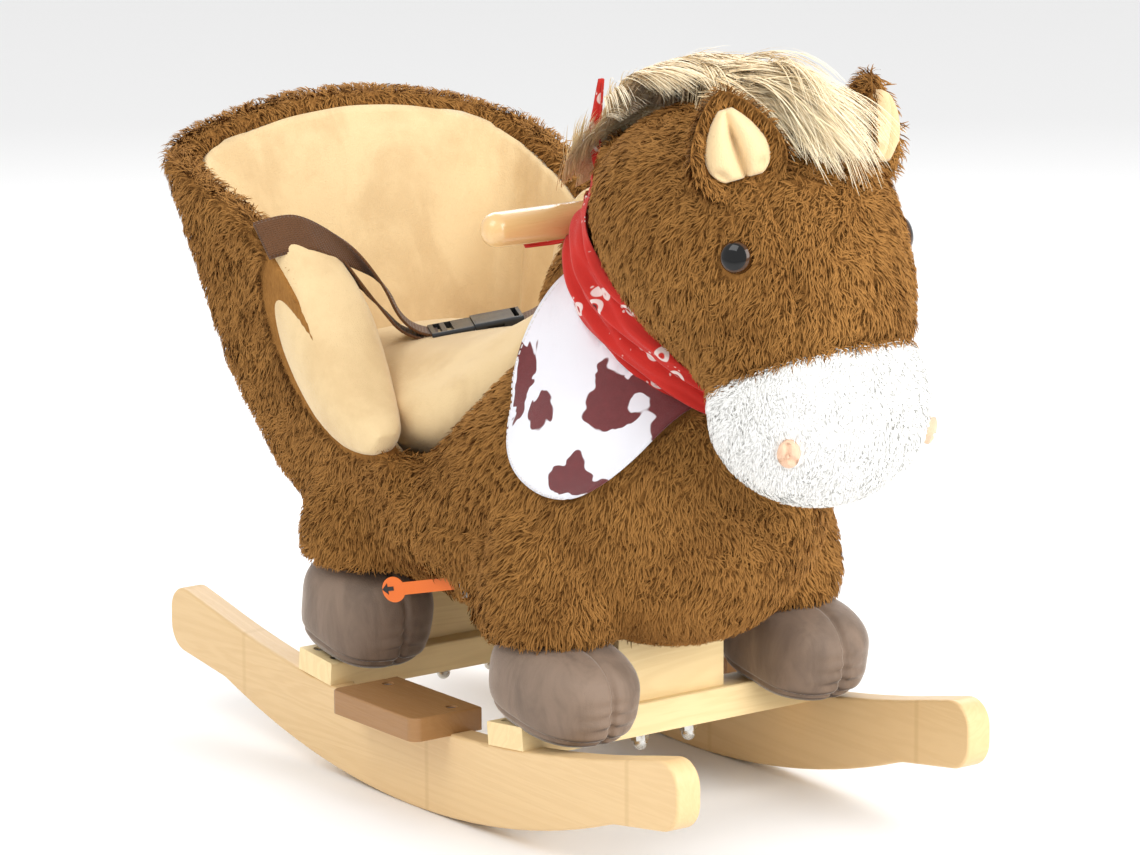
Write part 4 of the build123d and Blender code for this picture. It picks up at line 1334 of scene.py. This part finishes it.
class HORSE_OT_bibs(bpy.types.Operator):
    """Satin bib on each side of the chest, hung from under the scarf, with a stitched hem"""
    bl_idname = "horse.bibs"
    bl_label = "Bibs"

    def execute(self, context):
        cloth = settings("horse_cloth")
        rows, columns = 46, 46
        edge = smooth_path([(x, 0.0, z) for x, z in BIB_OUTLINE], 2 * (rows - 1) + columns)
        left, foot, right = edge[:rows], edge[rows - 1:rows - 1 + columns], edge[rows - 2 + columns:][::-1]
        top = left[0] + (right[0] - left[0]) * np.linspace(0, 1, columns)[:, None]
        u, v = np.linspace(0, 1, columns)[None, :, None], np.linspace(0, 1, rows)[:, None, None]
        right = right[:rows]
        sides = left[:, None, :] * (1 - u) + right[:, None, :] * u
        ends = top[None, :, :] * (1 - v) + foot[None, :, :] * v
        corners = (left[0] * (1 - u) + right[0] * u) * (1 - v) + (left[-1] * (1 - u) + right[-1] * u) * v
        flat = sides + ends - corners
        tree, scarf = (tree_of(bpy.data.objects[name]) for name in ("body_skin", "scarf_wrap"))
        for side, sign in SIDES:
            depth = self.drape(flat, tree, scarf, sign)
            points = np.stack([flat[..., 0], sign * depth, flat[..., 2]], 2)
            bib = grid_sheet(f"bib_{side}", points, 0.0012, (0.14, 0.15))
            fit_out(bib, cow_print(f"bib_satin_{side}", cloth.bib_white, cloth.bib_spot),
                    ["bibs"] if side == "right" else ())
            self.stitches(points, side, sign)
        return {"FINISHED"}

    def drape(self, flat, tree, scarf, sign):
        """Distance of the hanging cloth from the middle plane: taut over the body, under the scarf."""
        rows, columns = flat.shape[:2]
        ground, roof = np.zeros((rows, columns)), np.ones((rows, columns))
        for i in range(rows):
            for j in range(columns):
                start = Vector((flat[i, j, 0], sign * 0.2, flat[i, j, 2]))
                hit = tree.ray_cast(start, Vector((0, -sign, 0)))[0]
                ground[i, j] = abs(hit.y) if hit is not None else 0.03
                hit = scarf.ray_cast(start, Vector((0, -sign, 0)))[0]
                roof[i, j] = abs(hit.y) - 0.0026 if hit is not None else 1.0
        under = ground + 0.0060
        depth = np.minimum(np.maximum(under, 0.060), roof)
        for _ in range(600):
            padded = np.pad(depth, 1, mode="edge")
            mean = (padded[:-2, 1:-1] + padded[2:, 1:-1] + padded[1:-1, :-2] + padded[1:-1, 2:]) / 4
            depth = np.minimum(np.maximum(mean, under), roof)
        folds = 0.0012 * ripple(flat.reshape(-1, 3), 0.03, 71).reshape(rows, columns)
        return depth + (folds + 0.001) * (roof > 0.5)

    def stitches(self, points, side, sign):
        """Short white stitches just inside the hem."""
        inner = [points[i, 1] for i in range(14, points.shape[0])]
        inner += [points[-2, j] for j in range(2, points.shape[1] - 1)]
        line = np.array(inner)
        gone = np.concatenate([[0], np.cumsum(np.linalg.norm(np.diff(line, axis=0), axis=1))])
        pieces, faces = [], []
        for start in np.arange(0.002, gone[-1] - 0.003, 0.0042):
            ends = [np.array([np.interp(start + d, gone, line[:, k]) for k in range(3)]) for d in (0, 0.0027)]
            run = unit(ends[1] - ends[0])
            out = np.array([0, sign, 0.0])
            wide = np.cross(run, out) * 0.00035
            first = len(pieces)
            for end in ends:
                for lift in (0.0004, 0.0013):
                    pieces += [end + out * lift - wide, end + out * lift + wide]
            faces += [tuple(first + k for k in quad) for quad in (
                (0, 1, 3, 2), (4, 6, 7, 5), (0, 2, 6, 4), (1, 5, 7, 3), (2, 3, 7, 6), (0, 4, 5, 1))]
        thread = mesh_object(f"bib_stitches_{side}", pieces, faces)
        fit_out(thread, felt(f"hem_thread_{side}", srgb(236, 232, 230)))


# ---------------------------------------------------------------- belt, buckle, tab

def ribbon(name, path, across, width, thickness):
    """Flat webbing along a path; across gives the direction of its width at each point."""
    columns = 9
    spread = np.linspace(-0.5, 0.5, columns)[None, :, None]
    points = path[:, None, :] + across[:, None, :] * spread * width
    length = np.linalg.norm(np.diff(path, axis=0), axis=1).sum()
    obj = grid_sheet(name, points, thickness, (width, length))
    return obj, length


class HORSE_OT_belt(bpy.types.Operator):
    """Webbing belt: doubled strap to the plug, single strap to the socket"""
    bl_idname = "horse.belt"
    bl_label = "Belt"

    def execute(self, context):
        cloth = settings("horse_cloth")
        width = 0.0250
        plug, socket = np.array(box_middle("buckle_plug")), np.array(box_middle("buckle_socket"))
        aim = unit(socket - plug)
        cross = unit(np.cross(np.array([0, 0, 1.0]), aim))
        out = np.cross(aim, cross)
        anchor = np.array([-0.1505, -0.1425, 0.3440])
        plug_end = plug - aim * 0.0125
        socket_end = socket + aim * 0.0135
        edge = unit(np.array([0.40, 0.10, -0.62]))
        layers = (("lower", 0.0, 0.013, -0.0012), ("upper", 0.011, 0.002, 0.0016))
        for name, rise, sag, lift in layers:
            start = anchor + np.array([0.004, 0.0, 0.0012 + rise * 0.1])
            rim = start + np.array([0.008, 0.018, 0.006])
            over = start + np.array([0.016, 0.034, 0.001])
            middle = (over + plug_end) / 2 + np.array([0.0, 0.0, rise - sag])
            finish = plug_end + out * lift
            path = smooth_path([start, rim, over, middle, finish - aim * 0.020 + out * 0.003, finish], 70)
            share = np.linspace(0, 1, 70)[:, None]
            ease = share * share * (3 - 2 * share)
            across = unit(edge * (1 - ease) + cross * ease)
            strap, length = ribbon(f"belt_{name}_layer", path, across, width, cloth.webbing_thick)
            fit_out(strap, webbing(f"belt_webbing_{name}", cloth.webbing),
                    ["belt_strap_right"] if name == "lower" else (), body=None)
            tuple(finish - aim * 0.012)
            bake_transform(strap)
        start = np.array([anchor[0] + 0.006, -anchor[1] - 0.012, anchor[2] + 0.002])
        middle = (start + socket_end) / 2 + np.array([0.0, 0.0, -0.016])
        path = smooth_path([start, start + np.array([0.008, -0.016, -0.006]), middle,
                            socket_end + aim * 0.016 + out * 0.002, socket_end], 60)
        share = np.linspace(0, 1, 60)[:, None]
        ease = share * share * (3 - 2 * share)
        across = unit(np.array([0.55, -0.1, -0.5]) * (1 - ease) - cross * ease * -1)
        strap, length = ribbon("belt_far_strap", path, across, width, cloth.webbing_thick)
        fit_out(strap, webbing("belt_webbing_far", cloth.webbing), ["belt_strap_left"])
        return {"FINISHED"}


class HORSE_OT_hardware(bpy.types.Operator):
    """Finishes of the screws, bolts, nuts, buckle and sound unit"""
    bl_idname = "horse.hardware"
    bl_label = "Hardware"

    def execute(self, context):
        zinc = metal("zinc", srgb(196, 196, 200), 0.32)
        nickel = metal("nickel", srgb(206, 204, 198), 0.16)
        for node in ("slat_screws", "foot_rest_screws", "core_bolts", "bolt_washers", "cover_screw"):
            paint_node(node, zinc)
        paint_node("dome_nuts", nickel)
        black = moulded("buckle_black", srgb(26, 27, 29), 0.36)
        for node in ("buckle_socket", "buckle_plug", "buckle_prong_right", "buckle_prong_left", "speaker"):
            paint_node(node, black)
        white = moulded("case_white", srgb(206, 206, 202), 0.45)
        for node in ("sound_case", "battery_cover", "eye_washers"):
            paint_node(node, white)
        paint_node("sound_button", moulded("button_red", srgb(190, 50, 40), 0.4))
        paint_node("sound_board", moulded("board_green", srgb(30, 96, 54), 0.5))
        paint_node("battery_cells", metal("cell_wrap", srgb(150, 150, 158), 0.3))
        paint_node("pull_tab", moulded("tab_orange", srgb(226, 108, 32), 0.5))
        self.arrow()
        return {"FINISHED"}

    def arrow(self):
        """Plain black arrow on the round end of the pull tab, pointing away from the box."""
        tab = points_of(frame["nodes"]["pull_tab"])
        low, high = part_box("pull_tab")
        end = tab[tab[:, 0] < low.x + 0.010].mean(0)
        root = tab[tab[:, 0] > high.x - 0.006].mean(0)
        along = unit(end - root)
        tab_side = unit(np.cross(along, np.array([0, 0, 1.0])))
        tab_side = tab_side if tab_side[1] < 0 else -tab_side
        up = np.cross(tab_side, along)
        up = up if up[2] > 0 else -up
        outline = ((0.0042, 0), (0.0002, 0.0036), (0.0002, 0.0013), (-0.0040, 0.0013),
                   (-0.0040, -0.0013), (0.0002, -0.0013), (0.0002, -0.0036))
        points = []
        for lift in (0.0003, 0.0007):
            points += [end + along * a + up * b + tab_side * lift for a, b in outline]
        count = len(outline)
        faces = [tuple(reversed(range(count))), tuple(range(count, 2 * count))]
        faces += [(i, (i + 1) % count, count + (i + 1) % count, count + i) for i in range(count)]
        arrow = mesh_object("tab_arrow", points, faces, smooth=False)
        fit_out(arrow, moulded("arrow_black", srgb(20, 18, 16), 0.5), body="pull_tab")


# ---------------------------------------------------------------- wood

class HORSE_OT_wood(bpy.types.Operator):
    """Planed timber of the base, core and handle"""
    bl_idname = "horse.wood"
    bl_label = "Timber"

    def execute(self, context):
        wood = settings("horse_wood")
        rocker = timber("rocker_timber", wood.rocker, "X", 0.42, joint=0.21, coat=0.15)
        for side, _ in SIDES:
            paint_node(f"rocker_{side}", rocker)
            # The foot rest timber takes the darkened rest colour: painted shade over the wood's own browner colour.
            paint_node(f"foot_rest_{side}", timber(f"rest_timber_{side}", wood.rest, "X", 0.45, coat=0.15))
        slat = timber("slat_timber", wood.pine, "Y", 0.5)
        for node in ("cross_slat_front", "cross_slat_rear", "core_front_board", "core_rear_board"):
            paint_node(node, slat)
        paint_node("seat_board", timber("seat_board_timber", wood.pine, "X", 0.6))
        paint_node("neck_post", timber("neck_post_timber", wood.pine, "Z", 0.6))
        paint_node("tub_panel", timber("panel_board", srgb(150, 118, 84), "Y", 0.7))
        paint_node("handle_bar", timber("handle_timber", wood.handle, "Y", 0.3, coat=0.9))
        return {"FINISHED"}


# ---------------------------------------------------------------- mane

class HORSE_OT_mane(bpy.types.Operator):
    """Long hair from the nape over the crown, and the forelock between the ears"""
    bl_idname = "horse.mane"
    bl_label = "Mane and forelock"

    def execute(self, context):
        hair = settings("horse_hair")
        rng = np.random.default_rng(5)
        locks = 260
        lock_at = rng.uniform(0, 1, locks) ** 0.9
        lock_side = rng.normal(0, 0.011, locks).clip(-0.024, 0.024)
        lock_turn = rng.normal(0, 1, (locks, 3))
        picked = rng.integers(0, locks, hair.strands)
        along = np.clip(lock_at[picked] + rng.normal(0, 0.018, hair.strands), 0, 1)
        side = lock_side[picked] + rng.normal(0, 0.003, hair.strands)
        crest = smooth_path([(0.012, 0, 0.392), (0.040, 0, 0.432), (0.084, 0, 0.456),
                             (0.130, 0, 0.462), (0.168, 0, 0.463), (0.196, 0, 0.459)], 120)
        spots = np.linspace(0, 1, 120)
        roots = np.stack([np.interp(along, spots, crest[:, k]) for k in range(3)], 1)
        roots[:, 1] += side
        roots[:, 2] -= 0.35 * np.abs(side)
        front = np.clip((along - 0.10) / 0.5, 0, 1)[:, None]
        start = np.array([0.18, 0, 0.95]) * (1 - front) + np.array([0.88, 0, 0.46]) * front
        finish = np.array([0.80, 0, 0.35]) * (1 - front) + np.array([0.86, 0, -0.66]) * front
        gather = (9 - 26 * front[:, 0] ** 3) * side
        fan = np.stack([np.zeros(hair.strands), gather, np.zeros(hair.strands)], 1)
        stray = lock_turn[picked] * 0.11 + rng.normal(0, 0.035, (hair.strands, 3))
        lengths = hair.mane_length * (0.50 + 0.50 * front[:, 0]) * rng.uniform(0.66, 1.05, hair.strands)
        steps = 11
        path, place = [roots], roots.copy()
        for step in range(1, steps):
            share = step / (steps - 1)
            ease = share ** 0.8
            heading = unit(start * (1 - ease) + finish * ease + fan * (0.35 + 0.5 * share) + stray)
            place = place + heading * (lengths / (steps - 1))[:, None]
            arch = 0.014 * np.sin(math.pi * share) * np.exp(-((along - 0.42) / 0.30) ** 2)
            lift = 0.006 + arch + 0.009 * (1 - share) * np.abs(lock_turn[picked][:, 0]).clip(0, 1.5)
            for _ in range(2):
                gap = blob_distance(place, HEAD_BLOBS, HEAD_MELT) - lift
                probe = 0.0005
                slope = np.stack([
                    blob_distance(place + probe * np.eye(3)[k], HEAD_BLOBS, HEAD_MELT)
                    - blob_distance(place - probe * np.eye(3)[k], HEAD_BLOBS, HEAD_MELT) for k in range(3)], 1)
                place = place + unit(slope) * np.maximum(-gap, 0)[:, None]
            path.append(place.copy())
        path = np.stack(path, 1)
        ceiling = CAD_HIGH.z + 0.012
        soft_top = ceiling - 0.01
        above = soft_top + (path[..., 2] - ceiling + 0.01) * 0.3
        path[..., 2] = np.where(path[..., 2] > soft_top, above, path[..., 2])
        groups = (("mane_hair", along < 0.45, "mane"), ("forelock_hair", along >= 0.45, "forelock"))
        for name, chosen, node in groups:
            obj = self.strands(name, path[chosen], hair.strand_width, rng)
            fit_out(obj, long_hair(f"{name}_fibre", hair.root, hair.tip), [node])
        return {"FINISHED"}

    def strands(self, name, path, width, rng):
        """Tapered hairs, each a narrow band that turns a little."""
        count, steps = path.shape[:2]
        heading = unit(np.gradient(path, axis=1))
        outward = unit(path - np.array([0.12, 0.0, 0.38])) + rng.normal(0, 0.25, (count, 1, 3))
        base = unit(np.cross(outward, heading))
        share = np.linspace(0, 1, steps)[None, :, None]
        half = width * 0.5 * (1 - share ** 3) + 0.00005
        points = np.stack([path - base * half, path + base * half], 2).reshape(-1, 3)
        tint = np.repeat(rng.uniform(size=count), steps * 2)
        level = np.tile(np.repeat(np.linspace(0, 1, steps), 2), count)
        first = (np.arange(count)[:, None, None] * steps + np.arange(steps - 1)[None, :, None]) * 2
        faces = (first + np.array([0, 2, 3, 1])).reshape(-1, 4)
        obj = mesh_object(name, points, faces.tolist(), np.stack([tint, level], 1))
        shell = unit(points - np.array([0.12, 0.0, 0.38]))
        tilt = np.repeat(rng.normal(0, 0.22, (count, 3)), steps * 2, axis=0)
        obj.data.normals_split_custom_set_from_vertices(unit(shell + tilt).tolist())
        return obj


class HORSE_OT_pile(bpy.types.Operator):
    """Short pile over the body, head, muzzle and ears"""
    bl_idname = "horse.pile"
    bl_label = "Pile"

    def execute(self, context):
        plush = settings("horse_plush")
        find = bpy.data.objects
        cloths = [find[n] for n in ("seat_lining", "saddle_cushion", "wing_bolster_right", "wing_bolster_left")]
        over = [find[n] for n in ("bib_right", "bib_left", "scarf_wrap")]
        boards = [frame["nodes"][n] for n in ("handle_bar", "pull_tab")]
        brown = pile_fibre("brown_pile", plush.brown_root_shaded, plush.brown_tip)
        body = grow_pile("body_pile", find["body_skin"], cloths + over + boards, 0.0030,
                         plush.pile_length, plush.pile_spacing, plush.pile_width, 11, parts=5)
        for part in body:
            fit_out(part, brown)
        head = grow_pile("head_pile", find["head_skin"], boards + [find["eye_domes"]], 0.002,
                         plush.pile_length, plush.pile_spacing * 0.92, plush.pile_width, 12, parts=2)
        for part in head:
            fit_out(part, brown)
        white = pile_fibre("white_pile", plush.white_root_shaded, plush.white_tip, 0.2)
        muzzle, = grow_pile("muzzle_pile", find["muzzle_skin"], [find["nostril_felt"]], 0.0022,
                           plush.muzzle_pile, plush.pile_spacing * 0.85, plush.pile_width, 13)
        fit_out(muzzle, white)
        folds = find["ear_folds"]
        for side, sign in SIDES:
            ear, = grow_pile(f"ear_pile_{side}", find[f"ear_shell_{side}"], [folds], 0.002,
                            plush.pile_length, plush.pile_spacing * 0.85, plush.pile_width, 14 + (sign > 0), 0.62)
            fit_out(ear, brown)
        return {"FINISHED"}


# ---------------------------------------------------------------- stage

def area_lamp(name, place, size, power, aim):
    lamp = bpy.data.lights.new(name, "AREA")
    lamp.shape = "RECTANGLE"
    lamp.size, lamp.size_y = size
    lamp.energy = power
    obj = new_object(name, lamp)
    obj.location = place
    obj.rotation_euler = (Vector(aim) - Vector(place)).to_track_quat("-Z", "Y").to_euler()
    return obj


class HORSE_OT_stage(bpy.types.Operator):
    """Pale floor, soft studio light and the camera"""
    bl_idname = "horse.stage"
    bl_label = "Stage"

    def execute(self, context):
        stage = settings("horse_stage")
        reach = 12.0
        corners = [(-reach, -reach, 0), (reach, -reach, 0), (reach, reach, 0), (-reach, reach, 0)]
        floor = mesh_object("studio_floor", corners, [(0, 1, 2, 3)], smooth=False)
        paint = Paint("studio_paper")
        grain = paint.noise(paint.place(), 400, 2)
        paper = paint.finish(
            Base_Color=paint.mix(grain * 0.2, stage.floor, scaled(stage.floor, 0.97)), Roughness=0.9)
        floor.data.materials.append(paper)
        world = bpy.data.worlds.new("studio_air")
        world.use_nodes = True
        background = world.node_tree.nodes["Background"]
        background.inputs["Color"].default_value = (1, 1, 1, 1)
        background.inputs["Strength"].default_value = stage.ambient
        context.scene.world = world
        context.scene.view_settings.view_transform = "Standard"
        back = Vector((math.sin(stage.azimuth) * math.cos(stage.elevation),
                       -math.cos(stage.azimuth) * math.cos(stage.elevation), math.sin(stage.elevation)))
        right = Vector((math.cos(stage.azimuth), math.sin(stage.azimuth), 0))
        aim = MIDDLE + Vector((0, 0, 0.05))
        area_lamp("key_lamp", aim + back * 1.2 - right * 1.3 + Vector((0, 0, 1.6)), (1.4, 1.4), stage.key, aim)
        area_lamp("fill_lamp", aim + back * 1.4 + right * 1.5 + Vector((0, 0, 0.7)), (1.6, 1.6), stage.fill, aim)
        area_lamp("rim_lamp", aim - back * 1.6 + Vector((0, 0, 1.5)), (2.0, 1.0), stage.key, aim)
        target = Vector((MIDDLE.x - 0.012, 0, 0.2293))
        camera = bpy.data.cameras.new("studio_camera")
        camera.lens = stage.lens
        camera.sensor_width = 36
        camera.clip_start, camera.clip_end = 0.1, 100
        holder = new_object("studio_camera", camera)
        holder.location = target + back * stage.distance
        holder.rotation_mode = "QUATERNION"
        holder.rotation_quaternion = (-back).to_track_quat("-Z", "Y") @ Quaternion((0, 0, 1), stage.roll)
        context.scene.camera = holder
        return {"FINISHED"}


# ---------------------------------------------------------------- panel and main

STEPS = (
    HORSE_OT_stage, HORSE_OT_wood, HORSE_OT_hardware, HORSE_OT_skin, HORSE_OT_head, HORSE_OT_face,
    HORSE_OT_ears, HORSE_OT_lining, HORSE_OT_wings, HORSE_OT_cushion, HORSE_OT_hooves,
    HORSE_OT_scarf, HORSE_OT_bibs, HORSE_OT_belt, HORSE_OT_mane, HORSE_OT_pile,
)


class HORSE_PT_panel(bpy.types.Panel):
    """Lists the making steps of the rocking horse"""
    bl_idname = "HORSE_PT_panel"
    bl_label = "Rocking Horse"
    bl_space_type = "VIEW_3D"
    bl_region_type = "UI"
    bl_category = "Rocking Horse"

    def draw(self, context):
        for step in STEPS:
            self.layout.operator(step.bl_idname)


def register():
    for name, group in SETTINGS.items():
        bpy.utils.register_class(group)
        setattr(bpy.types.Scene, name, PointerProperty(type=group))
    for step in STEPS:
        bpy.utils.register_class(step)
    bpy.utils.register_class(HORSE_PT_panel)


def unregister():
    bpy.utils.unregister_class(HORSE_PT_panel)
    for step in reversed(STEPS):
        bpy.utils.unregister_class(step)
    for name, group in SETTINGS.items():
        delattr(bpy.types.Scene, name)
        bpy.utils.unregister_class(group)


def main():
    register()
    for step in STEPS:
        group, action = step.bl_idname.split(".")
        getattr(getattr(bpy.ops, group), action)()


if __name__ == "__main__":
    main()
